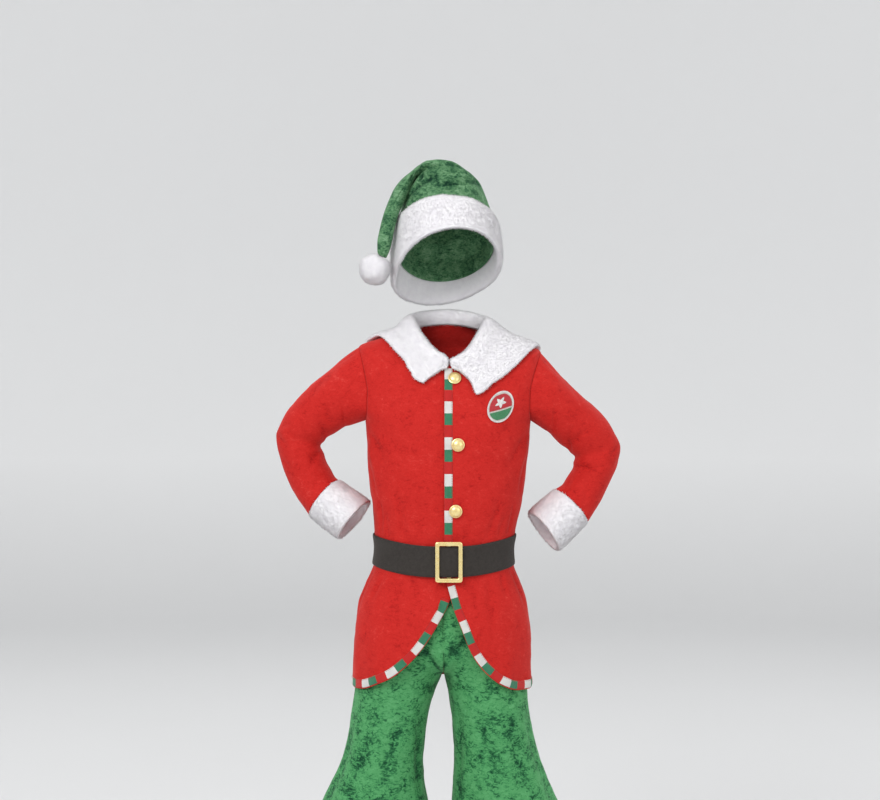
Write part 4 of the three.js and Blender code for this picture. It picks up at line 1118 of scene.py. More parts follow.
def rounded_outline(wide, tall, radius, arc=9, straight=6):
    """Points round a rectangle with rounded corners, anticlockwise, x across and y up."""
    points = []
    corners = [(1, -1, 270), (1, 1, 0), (-1, 1, 90), (-1, -1, 180)]
    for k, (x, y, start) in enumerate(corners):
        centre = np.array([x * (wide / 2 - radius), y * (tall / 2 - radius)])
        for degree in np.radians(start + np.linspace(0, 90, arc)):
            points.append(centre + radius * np.array([math.cos(degree), math.sin(degree)]))
        x, y, start = corners[(k + 1) % 4]
        turn = math.radians(start)
        ahead = np.array([x * (wide / 2 - radius), y * (tall / 2 - radius)])
        ahead = ahead + radius * np.array([math.cos(turn), math.sin(turn)])
        points += [mix(points[-1], ahead, t) for t in np.linspace(0, 1, straight + 1)[1:-1]]
    return np.array(points)


def buckle(name, material):
    """A flat frame with a crowned face and soft corners, and the rod behind the belt that holds it."""
    loops = []
    for share, height in BUCKLE_SECTION.rows:
        inset = 2 * share * BUCKLE_BAR
        outline = rounded_outline(BUCKLE_WIDE - inset, BUCKLE_TALL - inset, mix(4.0, 1.6, share))
        loops.append(stack(outline[:, 0], -height * BUCKLE_DEEP, outline[:, 1]))
    grid = np.stack(loops, 1)
    points = grid.reshape(-1, 3)
    quads = facing_out(points, ring_faces(*grid.shape[:2]))
    behind = BELT_THICK + 3 * SEAM + 0.2
    half_tall = BUCKLE_TALL / 2 - 0.9
    foot_deep = ROD_THICK + behind + 1.5
    foot_y, foot_z = behind + ROD_THICK - foot_deep / 2, half_tall - 2
    blocks = [
        block(ROD_WIDE, ROD_THICK, 2 * half_tall, (0, behind + ROD_THICK / 2, 0)),
        block(ROD_WIDE, foot_deep, 4, (0, foot_y, -foot_z)),
        block(ROD_WIDE, foot_deep, 4, (0, foot_y, foot_z)),
    ]
    for block_points, block_quads in blocks:
        quads = np.concatenate([quads, block_quads + len(points)])
        points = np.concatenate([points, block_points])
    x, z = BUCKLE_MIDDLE
    seat = np.array([x, -(BUCKLE_FRONT + BUCKLE_ROOM + BELT_THICK + SEAM + 0.2), z])
    return make_mesh(name, points + seat, [quads], material)


def block(wide, deep, tall, centre):
    """A small bar with softened edges."""
    outline = rounded_outline(wide, deep, min(wide, deep) * 0.3, 4, 2)
    shrink = np.array([[0.86, -0.5], [1.0, -0.46], [1.0, 0.46], [0.86, 0.5]])
    rings = [stack(outline[:, 0] * s, outline[:, 1] * s, tall * h) for s, h in shrink]
    grid = np.stack(rings, 1)
    points = grid.reshape(-1, 3)
    count = len(outline)
    # Each end is closed by a ladder of faces between its two sides.
    k = np.arange(count // 2 - 1)
    ladder = np.stack([k, k + 1, count - 2 - k, count - 1 - k], -1)
    quads = np.concatenate([ring_faces(count, 4, False), ladder[:, ::-1] * 4, ladder * 4 + 3])
    return points + np.array(centre, float), facing_out(points, quads)


# The trousers

# Rings of a leg by their depth below the neck. fork is how many degrees short of the inner side a ring ends,
# where the two legs are sewn together, and foot is the ring's height at that end.
LEG_RIGHT = Table("""
depth outer inner front back power fork foot
296 -107.5 -4.5   80   72 2.2 90 -304
320   -106 -4.5   79 70.5 2.2 90 -328
345   -109   -5   79   72 2.2 90 -352
372   -120   -6 81.5   78 2.2 90 -378
403   -130   -6   88   85 2.2 90 -408
462   -139   -6   92   90 2.2 90 -464
478 -139.5   -6   91   88 2.2 64 -490
492   -140   -6   87   84 2.2 38 -504
505 -140.5 -6.3   83   80 2.2 17 -510
518   -141   -8   80   78 2.2  0 -516
537   -142  -16   79   79 2.2  0 -537
565 -146.5  -26   78   80 2.2  0 -565
609   -153  -33   77   80 2.2  0 -609
647   -163  -36   76   79 2.1  0 -647
688   -181  -34   79   82 2.1  0 -688
725   -198  -28   84   87 2.1  0 -725
762   -213  -19   91   93 2.1  0 -762
""")
LEG_LEFT = Table("""
depth outer inner front back power fork foot
296  99.5 -4.5   80   72 2.2 90 -304
320  97.5 -4.5   79 70.5 2.2 90 -328
345   100   -5   79   72 2.2 90 -352
372   107   -6 81.5   78 2.2 90 -378
403   117   -6   88   85 2.2 90 -408
462   124   -6   92   90 2.2 90 -464
478   124   -6   91   88 2.2 64 -490
492   124   -6   87   84 2.2 38 -504
505 123.5 -5.7   83   80 2.2 17 -510
518   123 -4.5   80   78 2.2  0 -516
537   123    0   79   79 2.2  0 -537
565 126.5    4   78   80 2.2  0 -565
604   133    8   77   80 2.2  0 -604
640   142   10   76   79 2.1  0 -640
673   154   10   78   81 2.1  0 -673
720   173    8   84   87 2.1  0 -720
762   190    3   91   93 2.1  0 -762
""")
FLUTES = Table("""
around width proud
 12 13   3
 52 15   5
100 14   4
148 14 4.5
196 14   4
246 16   5
300 16 4.5
345 12   3
""")
LEG_DEGREE = 1.45
WAIST_TOP, WAIST_FOOT = 298, 320
LEG_TOP, FLARE_START, LEG_HEM = 320.8, 590, 762
# The deep folds that run up from the fork, one on each leg's front
FORK_LEFT = Table("""
around along to_around to_along bow width depth
188 500 146 446 6 8 -4.6
150 452 112 448 4 7 -2.4
""")
FORK_RIGHT = Table("""
around along to_around to_along bow width depth
188 508 156 460 -5 8 -4.2
146 470 112 428  5 8 -2.6
""")
# Creases of a leg, by the angle round it from its outer side over its front, and its depth below the neck
LEG_CREASES = Table("""
around along to_around to_along bow width depth
# From under the fork outwards
176 532 122 508 -6  8 -2.2
160 478 134 402  4  9 -2.4
# Down the front of the thigh into the flare
108 560  96 690  8 11 -2.8
 62 560  50 690 -7 12 -2.4
 86 600  76 745  6  9  2.2
138 560 146 720 -8 11 -3.2
 30 566  24 720  5  8 -2.8
 40 470  66 560  8  9 -2.2
 76 640  44 655  5  7 -1.6
122 628  92 640 -4  7 -1.6
 70 420  84 500 -6  9   -2
# Behind
192 505 244 452 -7  8 -3.8
190 528 262 500  8  8 -3.2
200 560 226 700  8  9   -3
250 540 258 690 -8  9 -3.4
286 566 292 730  6  9   -3
318 500 300 600 -8  9 -2.6
330 590 336 730  6  8 -2.8
226 650 272 640  6  8 -1.8
""")


def leg_point(rows, s, depth, back):
    """A point of a leg's front or back panel: s runs from its outer seam to its inner one."""
    s, depth = np.broadcast_arrays(s, depth)
    row = rows.at(depth)
    side = np.sign(rows.rows[0, 1])
    cos_fork = np.clip(np.cos(np.radians(row["fork"])), 0, 1) ** (2 / row["power"])
    seam = row["inner"] + side * SEAM / 2
    half = np.abs(row["outer"] - seam) / (1 + cos_fork)
    middle = row["outer"] - side * half
    angle = mix(0, 180 - row["fork"], s)
    across = signed_power(np.cos(np.radians(angle)), 2 / row["power"])
    deep = np.abs(np.sin(np.radians(angle))) ** (2 / row["power"])
    reach = row["back"] if back else -row["front"]
    around = 360 - angle if back else angle
    flare = folds_at(FLUTES, around) * smooth(depth, FLARE_START, LEG_HEM)
    spread = 1 + flare / half
    x = middle + side * half * across * np.where(row["fork"] <= 0, spread, 1)
    seat = SEAM / 2 if back else -SEAM / 2
    return stack(x, reach * deep * spread + seat, mix(-depth, row["foot"], s))


def leg_panel(name, rows, back, seed, fork, material):
    s = np.linspace(0, 1, 46)[:, None]
    depth = np.linspace(LEG_TOP, LEG_HEM, 128)[None, :]
    grid = leg_point(rows, s, depth, back)
    # The cloth bridges the hollow beneath the fork rather than following it.
    slack = grid.copy()
    for _ in range(70):
        slack[:, 1:-1] = slack[:, 1:-1] / 2 + (slack[:, :-2] + slack[:, 2:]) / 4
    near = smooth(depth, 440, 480) * (1 - smooth(depth, 560, 620)) * (1 - smooth(s, 0.84, 1))
    grid = mix(grid, slack, near[..., None])
    row = rows.at(depth[0])
    inner_share = np.where(row["fork"] > 0, 3, 1)
    middle = (row["outer"] + inner_share * row["inner"]) / (1 + inner_share)
    inside = stack(middle, 0.0, -depth[0])[None]
    normals = grid_normals(grid, False, inside)
    around = 360 - 180 * s if back else 180 * s
    # The flare's own flutes start as soft folds higher up the leg.
    folds = sum(creases(around, depth, table, LEG_DEGREE) for table in (LEG_CREASES, fork))
    relief = folds + 1.5 * rumple(grid, seed) - 0.4 + seam_dip(s, 130) + seam_dip(1 - s, 130)
    # Where the four panels meet, their edges stay together.
    relief = relief * (1 - smooth(s, 0.86, 1) * np.exp(-(((depth - 508) / 26) ** 2)))
    under_jacket = smooth(depth, 330, 470)
    outer = grid + normals * (relief * mix(0.2, 1.0, under_jacket) - 0.8 * (1 - under_jacket))[..., None]
    normals = grid_normals(outer, False, inside)
    return wall(name, outer, outer - normals * VELVET, False, material, relief=folds), outer


def waistband(name, material):
    """The elastic waist casing, gathered evenly all round."""
    s = np.linspace(0, 1, 72)
    depth = np.linspace(WAIST_TOP, WAIST_FOOT, 12)[None, :]
    left_front, left_back, right_front, right_back = (
        leg_point(rows, s[:, None], depth, back) for rows in (LEG_LEFT, LEG_RIGHT) for back in (False, True)
    )
    grid = np.concatenate([left_front[:-1], right_front[:0:-1], right_back[1:-1], left_back[:0:-1]])
    turn = np.arange(len(grid))[:, None] * 2 * np.pi / len(grid)
    normals = grid_normals(grid, True, grid.mean(0, keepdims=True))
    share = (depth - WAIST_TOP) / (WAIST_FOOT - WAIST_TOP)
    gather = 0.45 * np.sin(turn * 60 + np.sin(turn * 7)) * (0.4 + 0.6 * np.sin(np.pi * share))
    outer = grid + normals * (gather - 1.0 + 0.7 * np.sin(np.pi * share))[..., None]
    return wall(name, outer, outer - normals * VELVET, True, material), outer


# The leg warmers

WARMER_RIGHT = Table("""
step outerX outerZ innerX innerZ y depth
0 -163 -694 -83 -694 2 92
1 -164 -740 -82 -740 6 98
2 -163 -790 -84 -790 9 97
3 -163 -840 -88 -840 8 88
4 -164 -890 -94 -890 5 78
5 -166 -930 -98 -930 3 72
6 -167 -962 -99 -962 3 74
""")
WARMER_LEFT = Table("""
step outerX outerZ innerX innerZ y depth
0 53 -694   133 -694 2 92
1 53 -740   135 -740 6 98
2 56 -790 135.5 -790 9 97
3 61 -840 135.5 -840 8 88
4 67 -890   136 -890 5 78
5 72 -930   137 -930 3 72
6 71 -962   139 -962 3 74
""")
WARMER_RIBS = 44
WARMER_LAST_BAND = 264.5  # the last white band runs on over the foot's rim from here


def leg_warmer(name, rows, seed, material):
    """A ribbed tube with a turned welt at each end and a soft sag above the foot."""
    count = WARMER_RIBS * 4
    around = circle(count)[:, None]
    step = np.linspace(0, 6, 66)[None, :]
    ring = rows.at(step)
    sag = 1.8 * np.cos(step * 8.5 + 0.5 * np.cos(np.radians(around))) * smooth(step, 3.2, 4.6)
    ribs = 0.4 * np.cos(np.radians(around * WARMER_RIBS))
    welt = 0.6 * (1 - smooth(step, 0.18, 0.24)) + 0.6 * smooth(step, 5.74, 5.8)
    smooth_form = section_ring(ring, around)
    soft = 1.2 * noise(smooth_form, 40, seed) + 0.4 * noise(smooth_form, 15, seed + 1)
    outer = section_ring(ring, around, sag + ribs + welt + soft)
    normals = grid_normals(section_ring(ring, around, sag + soft), True, outer.mean(0, keepdims=True))
    run = np.minimum(run_lengths(smooth_form[0]), WARMER_LAST_BAND)
    plan = (np.arange(count + 1.0)[:, None] * 1.5, run[None, :] + np.zeros((count + 1, 1)))
    return wall(name, outer, outer - normals * (KNIT + ribs[..., None] * 0.5), True, material, plan), outer


# The hat

# The band's foot and top, each by its middle, its reach to the sides, the front and the back, its lift at the
# front, its fall at the back and its slope to the side
HAT_BAND = Table("""
place x y z half front back high low roll
0  0 -2 101 84.5 90 88 66 42 0.17
1 -2 16 169 82.5 78 86 50 45 0.03
""")
CROWN = Table("""
step outerX outerZ innerX innerZ y depth pitch
   2     65   206   -75   188    20 148 33
   3   56.5   228   -68   210    22 142 31
   4     38   246   -60   227    20 126 26
   5     16   262 -50.5   240    15 106 20
   6     -9 273.5   -46   247    10  86 13
   7    -28   276   -45   250     7  70  8
   8    -43 269.5 -46.5 250.5     5  58  4
   9    -56   260 -51.5   243     2  50  0
  10    -68 249.5   -57   232    -4  44  0
  11    -79 236.6 -61.5   221   -11  38  0
  12  -88.5   217   -68   206   -20  33  0
  13  -96.5 194.7 -74.5   189   -28  30  0
  14 -102.6   171   -80   169   -33  28  0
  15   -107   147 -84.5 145.5   -36  25  0
15.6   -107   136   -88   134 -36.5  21  0
  16 -105.5   128   -92   125   -37  14  0
""")
CROWN_FOLDS = Table("""
step around length width proud
2.6  60   1 26  3
3.6 112   1 22 -5
4.4  70   1 24  5
5.6 125   1 24 -6
6.4  85   1 26  4
8.6 120 0.8 30 -4
3.2 250 1.2 30  5
  5 290 1.2 30 -5
6.6 250 1.2 30  4
""")
CROWN_STEP = 17.0
CROWN_DEGREE = 1.0
CROWN_SPOKES, CROWN_RINGS = 192, 132
CROWN_CREASES = Table("""
around along to_around to_along bow width depth
152  35  94  42 -7 5   -5
106  40  56  37  7 5 -4.4
 64  38  32  48  3 5   -3
120  80 130  50  3 5 -4.6
154  88 148  54 -3 5   -4
136  86  92  48  4 5    3
108  90  74  58 -4 6  2.6
 92  84  54  58  4 6   -3
 52 148 132 160  2 5 -3.6
138 100  96 128 -5 5 -2.6
 40  66  66 112 -6 6    2
 88 110 118 140  3 4   -2
 60 132  96 172 -4 4 -1.8
110 166  84 214  3 4 -1.6
 72  40  78  56  1 4 -1.8
100  38 104  56  1 4 -1.8
128  38 134  58  1 4   -2
 34  38  38  54  1 4 -1.6
228  52 262  92  6 6 -2.8
276  48 300  84 -5 6 -2.4
318  56 344  96  5 6 -2.2
208  74 236 118 -5 6 -2.6
250 104 290 136  5 5 -2.2
226 140 268 176 -4 5 -1.8
214  38 218  58  1 4 -1.8
246  38 250  56  1 4 -1.8
290  38 286  58  1 4 -1.8
330  38 334  56  1 4 -1.6
""")


def band_ring(place, count, inset=0.0):
    row = HAT_BAND.at(place)
    around = np.arange(count) * 2 * np.pi / count
    across, deep = np.cos(around), np.sin(around)
    x = (row["half"] - inset) * across
    y = row["y"] + np.where(deep > 0, inset - row["front"], row["back"] - inset) * np.abs(deep)
    z = row["z"] + np.where(deep > 0, row["high"], row["low"]) * deep + row["roll"] * x
    return stack(row["x"] + x, y, z)


def crown(material):
    """The crown's two panels, sewn inside the band and gathered over it, folded down to the tip."""
    count = CROWN_SPOKES
    around = circle(count)[:, None]
    step = np.linspace(CROWN.key[0], CROWN.key[-1], CROWN_RINGS)[None, :]

    def fine_creases(step):
        return creases(around, step * CROWN_STEP, CROWN_CREASES, CROWN_DEGREE)

    def rings(step):
        relief = step_folds(CROWN_FOLDS, step, around) + fine_creases(step)
        row = CROWN.at(step)
        slack = smooth(row["depth"], 14, 70)
        relief = relief + 1.5 * slack * rumple(section_ring(row, around, 0.0, row["pitch"]), 61)
        return section_ring(row, around, relief, row["pitch"])

    low, high = (band_ring(place, count, BAND_THICK + VELVET)[:, None] for place in (0.55, 0.97))
    first, ahead = rings(np.array([[2.0]])), rings(np.array([[2.1]]))
    tucked = mix(low, high, np.linspace(0, 1, 14)[None, :-1, None])
    t = np.linspace(0, 1, 15)[None, :-1, None]
    gathers = 1.3 * np.sin(np.radians(around * 21)) * (0.5 + 0.5 * np.sin(np.radians(around * 5 + 30)))
    rise = hermite(high, (high - low) * 0.9, first, (ahead - first) * 9, t)
    outward = unit(high - high.mean(0))
    rise = rise + np.sin(np.pi * t) * (gathers[..., None] + 0.5) * outward
    grid = np.concatenate([tucked, rise, rings(step)], 1)
    folds = np.zeros(grid.shape[:2])
    folds[:, -step.size :] = fine_creases(step)
    normals = unit(grid - grid.mean(0, keepdims=True))
    # Thin, folded and tilted rings take their wall along the surface's own normal.
    surface = grid_normals(grid, True, grid.mean(0, keepdims=True))
    normals = unit(mix(normals, surface, 0.6))
    panels = []
    for name, start, side in (("hat_crown_front", 0, -1), ("hat_crown_back", count // 2, 1)):
        chosen = (start + np.arange(count // 2 + 1)) % count
        outer, out = grid[chosen].copy(), normals[chosen].copy()
        share = np.linspace(0, 1, len(chosen))[:, None]
        girth = np.linalg.norm(np.diff(outer, axis=0), axis=-1).sum(0)[None, :]
        outer = outer + out * ((seam_dip(share, girth) + seam_dip(1 - share, girth)) * 0.7)[..., None]
        outer[[0, -1], :, 1] += side * SEAM / 2
        out[[0, -1], :, 1] = 0.0
        out = unit(out)
        shell = wall(name, outer, outer - out * VELVET, False, material, relief=folds[chosen])
        panels.append((shell, outer))
    return panels


POMPOM_CENTRE = np.array([-110.0, -37.0, 108.0])


def pompom(name, material):
    """A ball of long pile with a soft hollow where the hat's tip is let in."""
    rows, columns = 60, 40
    around = np.radians(circle(rows))[:, None]
    up = np.radians(np.linspace(-88.5, 88.5, columns))[None, :]
    ball = stack(np.cos(up) * np.cos(around), np.cos(up) * np.sin(around), np.sin(up) + 0 * around)
    tip = CROWN.at(16)
    end = stack((tip["outerX"] + tip["innerX"]) / 2, tip["y"], (tip["outerZ"] + tip["innerZ"]) / 2)
    toward = unit(end - POMPOM_CENTRE)
    lumps = 1 + 0.05 * noise(ball * 20, 9, 71)
    hollow = smooth(ball @ toward, 0.88, 0.94)
    radius = (POMPOM_RADIUS - 1.9) * lumps * (1 - 0.3 * hollow)
    grid = POMPOM_CENTRE + ball * radius[..., None]
    points = np.concatenate([grid.reshape(-1, 3), grid[:, [0, -1]].mean(0)])
    # Each end is closed by four-cornered faces over two spokes at a time.
    j = np.arange(0, rows, 2)
    first, second, third = (((j + k) % rows) * columns for k in range(3))
    pole = np.full(len(j), rows * columns)
    foot = np.stack([third, second, first, pole], -1)
    top = np.stack([first, second, third, pole + 1 - (columns - 1)], -1) + columns - 1
    quads = facing_out(points, np.concatenate([ring_faces(rows, columns, False), foot, top]))
    cover = np.concatenate([(1 - smooth(ball @ toward, 0.86, 0.93)).ravel(), [1.0, 1.0]])
    return pile_mesh(name, points, quads, material, POMPOM_PILE, 73, (0, 0, -0.12), cover)


# Materials

class Paint:
    """A procedural material, built round one shader. Sockets named in fixed get the same value all over."""

    def __init__(self, name, fixed):
        self.material = bpy.data.materials.new(name)
        self.material.use_nodes = True
        self.tree = self.material.node_tree
        self.shader = self.tree.nodes["Principled BSDF"]
        for socket, value in fixed.items():
            self.shader.inputs[socket].default_value = value
        self.place = self.add("ShaderNodeTexCoord").outputs["Object"]

    def add(self, kind, inputs=None, **settings):
        node = self.tree.nodes.new(kind)
        for key, value in settings.items():
            setattr(node, key, value)
        for key, value in (inputs or {}).items():
            if isinstance(value, bpy.types.NodeSocket):
                self.tree.links.new(value, node.inputs[key])
            else:
                node.inputs[key].default_value = value
        return node

    def noise(self, size, detail=4.0, roughness=0.5, distortion=0.0, vector=None):
        """Noise with features about size millimetres across."""
        inputs = {
            "Vector": vector or self.place,
            "Scale": 1 / (size * MM),
            "Detail": detail,
            "Roughness": roughness,
            "Distortion": distortion,
        }
        return self.add("ShaderNodeTexNoise", inputs).outputs["Fac"]

    def math(self, operation, first, second, third=0.0):
        node = self.add("ShaderNodeMath", {0: first, 1: second, 2: third}, operation=operation)
        return node.outputs["Value"]

    def ramp(self, value, stops, interpolation="LINEAR"):
        node = self.add("ShaderNodeValToRGB", {"Fac": value})
        node.color_ramp.interpolation = interpolation
        elements = node.color_ramp.elements
        while len(elements) < len(stops):
            elements.new(0.5)
        for element, (position, colour) in zip(elements, stops):
            element.position = position
            element.color = (*colour, 1.0)
        return node.outputs["Color"]

    def blend(self, share, first, second, mode="MIX"):
        node = self.add("ShaderNodeMix", data_type="RGBA", blend_type=mode)
        for k, value in ((0, share), (6, first), (7, second)):
            if isinstance(value, bpy.types.NodeSocket):
                self.tree.links.new(value, node.inputs[k])
            else:
                node.inputs[k].default_value = value if k == 0 else (*value, 1.0)
        return node.outputs[2]

    def shade(self, colour, value, low):
        """The colour, darker where the value is low."""
        grey = self.ramp(value, [(0.3, (low,) * 3), (0.7, (1.0,) * 3)])
        return self.blend(1.0, colour, grey, "MULTIPLY")

    def finish(self, colour, heights=(), roughness=None):
        """Links the colour, and the bumps as pairs of a height and its size in millimetres, coarse first."""
        normal = None
        for height, size in heights:
            inputs = {"Height": height, "Distance": size * MM, "Strength": 1.0}
            if normal is not None:
                inputs["Normal"] = normal
            normal = self.add("ShaderNodeBump", inputs).outputs["Normal"]
        for socket, value in (("Base Color", colour), ("Normal", normal), ("Roughness", roughness)):
            if value is not None:
                self.tree.links.new(value, self.shader.inputs[socket])
        return self.material


def soft_paint(name, roughness, specular, sheen, spread=0.5, tint=(1.0, 1.0, 1.0)):
    """The start of a cloth's material: a rough surface with a sheen."""
    fixed = {
        "Roughness": roughness,
        "Specular IOR Level": specular,
        "Sheen Weight": sheen,
        "Sheen Roughness": spread,
        "Sheen Tint": (*tint, 1.0),
    }
    return Paint(name, fixed)


def crushed_velvet(name, tones, sheen, size, crush):
    """Velvet whose pile lies in different ways from patch to patch, with painted shade in its folds. tones
    are its colours, and size and crush how wide and deep the patches are, in millimetres.
    """
    paint = soft_paint(name, 0.75, 0.1, 0.12, 0.4, sheen)
    patches = paint.noise(size, 4, 0.55, 0.8)
    stretched = paint.add("ShaderNodeMapping", {"Vector": paint.place, "Scale": (1.0, 1.0, 1.7)})
    flecks = paint.noise(size * 0.3, 4, 0.6, 1.2, stretched.outputs["Vector"])
    nap = paint.noise(1.3, 3, 0.6)
    tone = paint.math("MULTIPLY_ADD", patches, 0.4, paint.math("MULTIPLY", flecks, 0.6))
    # Painted shade: the colour is pulled towards the dark tones where the hollow attribute marks a point deep
    # in a fold.
    hollow = paint.add("ShaderNodeAttribute", attribute_name="hollow").outputs["Fac"]
    colour = paint.ramp(paint.math("MULTIPLY_ADD", hollow, -0.13, tone), tones)
    return paint.finish(paint.shade(colour, nap, 0.84), [(tone, crush), (nap, 0.2)])


def plush_material(name):
    paint = soft_paint(name, 0.95, 0.1, 0.25, 0.6, (1.0, 0.98, 1.0))
    locks = paint.noise(10, 4, 0.55, 0.5)
    colour = paint.ramp(locks, [(0.3, (0.89, 0.87, 0.905)), (0.65, (0.97, 0.955, 0.975))])
    return paint.finish(colour, [(locks, 0.1), (paint.noise(1.1, 2), 0.2)])


WHITE = (0.74, 0.73, 0.70)
STRIPE_GREEN = (0.045, 0.215, 0.115)
STRIPE_RED = (0.56, 0.021, 0.020)


def striped(name, blocks, axis, thread, knit=False):
    """Cloth in blocks along one way of its plan, each given by its colour and its length in millimetres."""
    paint = soft_paint(name, 0.8, 0.2, 0.15)
    plan = paint.add("ShaderNodeUVMap", uv_map="plan").outputs["UV"]
    parts = paint.add("ShaderNodeSeparateXYZ", {"Vector": plan}).outputs
    repeat = sum(length for _, length in blocks)
    uneven = paint.math("MULTIPLY_ADD", paint.noise(6, 3), 0.7 * MM, parts[axis])
    place = paint.math("FRACT", paint.math("DIVIDE", uneven, repeat * MM), 0.0)
    stops, start = [], 0.0
    for colour, length in blocks:
        stops.append((start / repeat, colour))
        start += length
    colour = paint.ramp(place, stops, "CONSTANT")
    colour = paint.shade(colour, paint.noise(14, 4), 0.86)
    turn = 2 * math.pi / (thread * MM)
    warp = paint.math("SINE", paint.math("MULTIPLY", parts[0], turn), 0.0)
    weft = paint.math("SINE", paint.math("MULTIPLY", parts[1], turn * (1.6 if knit else 1.0)), 0.0)
    weave = paint.math("MULTIPLY", warp, weft)
    return paint.finish(colour, [(paint.noise(3, 3), 0.3), (weave, 0.09)])


def felt_material(name):
    paint = soft_paint(name, 0.85, 0.25, 0.08, 0.5, (0.9, 0.86, 0.82))
    fibres = paint.noise(4, 6, 0.7, 0.8)
    worn = paint.noise(34, 4)
    colour = paint.ramp(fibres, [(0.3, (0.020, 0.017, 0.015)), (0.7, (0.042, 0.036, 0.032))])
    colour = paint.blend(paint.math("MULTIPLY", worn, 0.35), colour, (0.06, 0.053, 0.047))
    return paint.finish(colour, [(fibres, 0.35), (paint.noise(0.8, 2), 0.12)])


def gold_material(name, roughness):
    fixed = {"Metallic": 0.75, "Specular IOR Level": 0.5, "Coat Weight": 0.25, "Coat Roughness": 0.15}
    paint = Paint(name, fixed)
    wear = paint.noise(7, 5, 0.6, 0.4)
    colour = paint.ramp(wear, [(0.3, (0.92, 0.70, 0.27)), (0.7, (1.0, 0.84, 0.42))])
    gloss = paint.ramp(wear, [(0.3, (roughness + 0.06,) * 3), (0.7, (roughness,) * 3)])
    return paint.finish(colour, [(paint.noise(5, 3), 0.05)], gloss)


def thread_material(name, colour, sheen=0.3):
    """Embroidery or sewing thread, in fine close stitches."""
    paint = soft_paint(name, 0.55, 0.35, sheen)
    tone = paint.noise(2.2, 4, 0.6)
    dark = tuple(0.72 * c for c in colour)
    rows = paint.add("ShaderNodeTexWave", {"Vector": paint.place, "Scale": 260.0, "Distortion": 1.5})
    colour = paint.ramp(tone, [(0.3, dark), (0.7, colour)])
    return paint.finish(colour, [(rows.outputs["Fac"], 0.18), (tone, 0.12)])


def stage_material(name):
    """Pale paint, deeper on the floor, which takes more light than the wall does."""
    paint = Paint(name, {"Roughness": 0.9, "Specular IOR Level": 0.1})
    height = paint.add("ShaderNodeSeparateXYZ", {"Vector": paint.place}).outputs["Z"]
    rise = paint.math("MULTIPLY_ADD", height, 1.6, 1.66)
    uneven = paint.math("MULTIPLY_ADD", paint.noise(900, 3), 0.1, rise)
    return paint.finish(paint.ramp(uneven, [(0.0, (0.70, 0.705, 0.71)), (1.0, (0.90, 0.905, 0.91))]))


# Tones of velvet, from the dark flecks and the painted shade in its folds to the light patches: a place on
# the scale and its colour
RED_TONES = [
    (0.3, (0.40, 0.010, 0.010)),
    (0.44, (0.58, 0.021, 0.017)),
    (0.58, (0.62, 0.026, 0.021)),
    (0.72, (0.70, 0.06, 0.05)),
]
GREEN_TONES = [
    (0.34, (0.006, 0.052, 0.024)),
    (0.42, (0.026, 0.15, 0.056)),
    (0.49, (0.078, 0.33, 0.115)),
    (0.66, (0.13, 0.42, 0.17)),
]
HAT_TONES = [
    (0.33, (0.009, 0.042, 0.024)),
    (0.43, (0.04, 0.13, 0.06)),
    (0.52, (0.11, 0.26, 0.12)),
    (0.68, (0.24, 0.42, 0.25)),
]
GREEN_SHEEN = (0.7, 1.0, 0.75)

red_velvet = crushed_velvet("red velvet", RED_TONES, (1.0, 0.5, 0.45), 22, 0.35)
green_velvet = crushed_velvet("green velvet", GREEN_TONES, GREEN_SHEEN, 24, 1.2)
hat_velvet = crushed_velvet("deep green velvet", HAT_TONES, GREEN_SHEEN, 20, 1.5)
plush = plush_material("white plush")
binding_cloth = striped("striped binding", [(WHITE, 18.4), (STRIPE_GREEN, 18), (STRIPE_RED, 18.6)], 0, 1.1)
warmer_knit = striped("striped knit", [(WHITE, 18), (STRIPE_GREEN, 20), (STRIPE_RED, 24)], 1, 2.4, True)
belt_felt = felt_material("black felt")
buckle_gold = gold_material("gold buckle", 0.24)
button_gold = gold_material("gold button", 0.30)
patch_twill = thread_material("patch twill", (0.66, 0.62, 0.56))
patch_white = thread_material("white thread", (0.80, 0.79, 0.77))
patch_red = thread_material("red thread", (0.52, 0.02, 0.03))
patch_green = thread_material("green thread", (0.05, 0.24, 0.10))
red_thread = thread_material("red sewing thread", (0.48, 0.016, 0.015), 0.1)
green_thread = thread_material("green sewing thread", (0.015, 0.10, 0.04))


# Pieces

def dress(obj, slot, *nodes):
    """A piece takes the place of its solids and goes with the costume."""
    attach(obj, "root")
    if nodes:
        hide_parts(*nodes)
    return obj


def cloth(made, slot):
    obj, grid = made
    dress(obj, slot, obj.name.removesuffix(LOOK))
    return grid


def jacket():
    for name, side, edge, hem in (
        ("left", 1, OVERLAP_EDGE, HEM_LEFT),
        ("right", -1, UNDERLAP_EDGE, HEM_RIGHT),
    ):
        cloth(front_panel(f"jacket_front_{name}", side, edge, hem, red_velvet), "red_velvet")
    cloth(back_panel("jacket_back", red_velvet), "red_velvet")
    for name, table, side, folds, end in (
        ("left", SLEEVE_LEFT, 1, SLEEVE_CREASES_LEFT, CUFF_END_LEFT),
        ("right", SLEEVE_RIGHT, -1, SLEEVE_CREASES_RIGHT, CUFF_END_RIGHT),
    ):
        cloth(sleeve(f"jacket_sleeve_{name}", table, side, folds, red_velvet), "red_velvet")
        start, finish = (section_ring(row, circle(150), slant=CUFF_SLANT) for row in (table.at(10), end))
        start = mix(start, finish, 0.012)
        cuff = plush_ring(f"sleeve_cuff_{name}", start, finish, PLUSH, plush, CUFF_PILE, 80 + side)
        dress(cuff, "white_plush", f"sleeve_cuff_{name}")
    dress(collar("jacket_collar", plush), "white_plush", "jacket_collar")


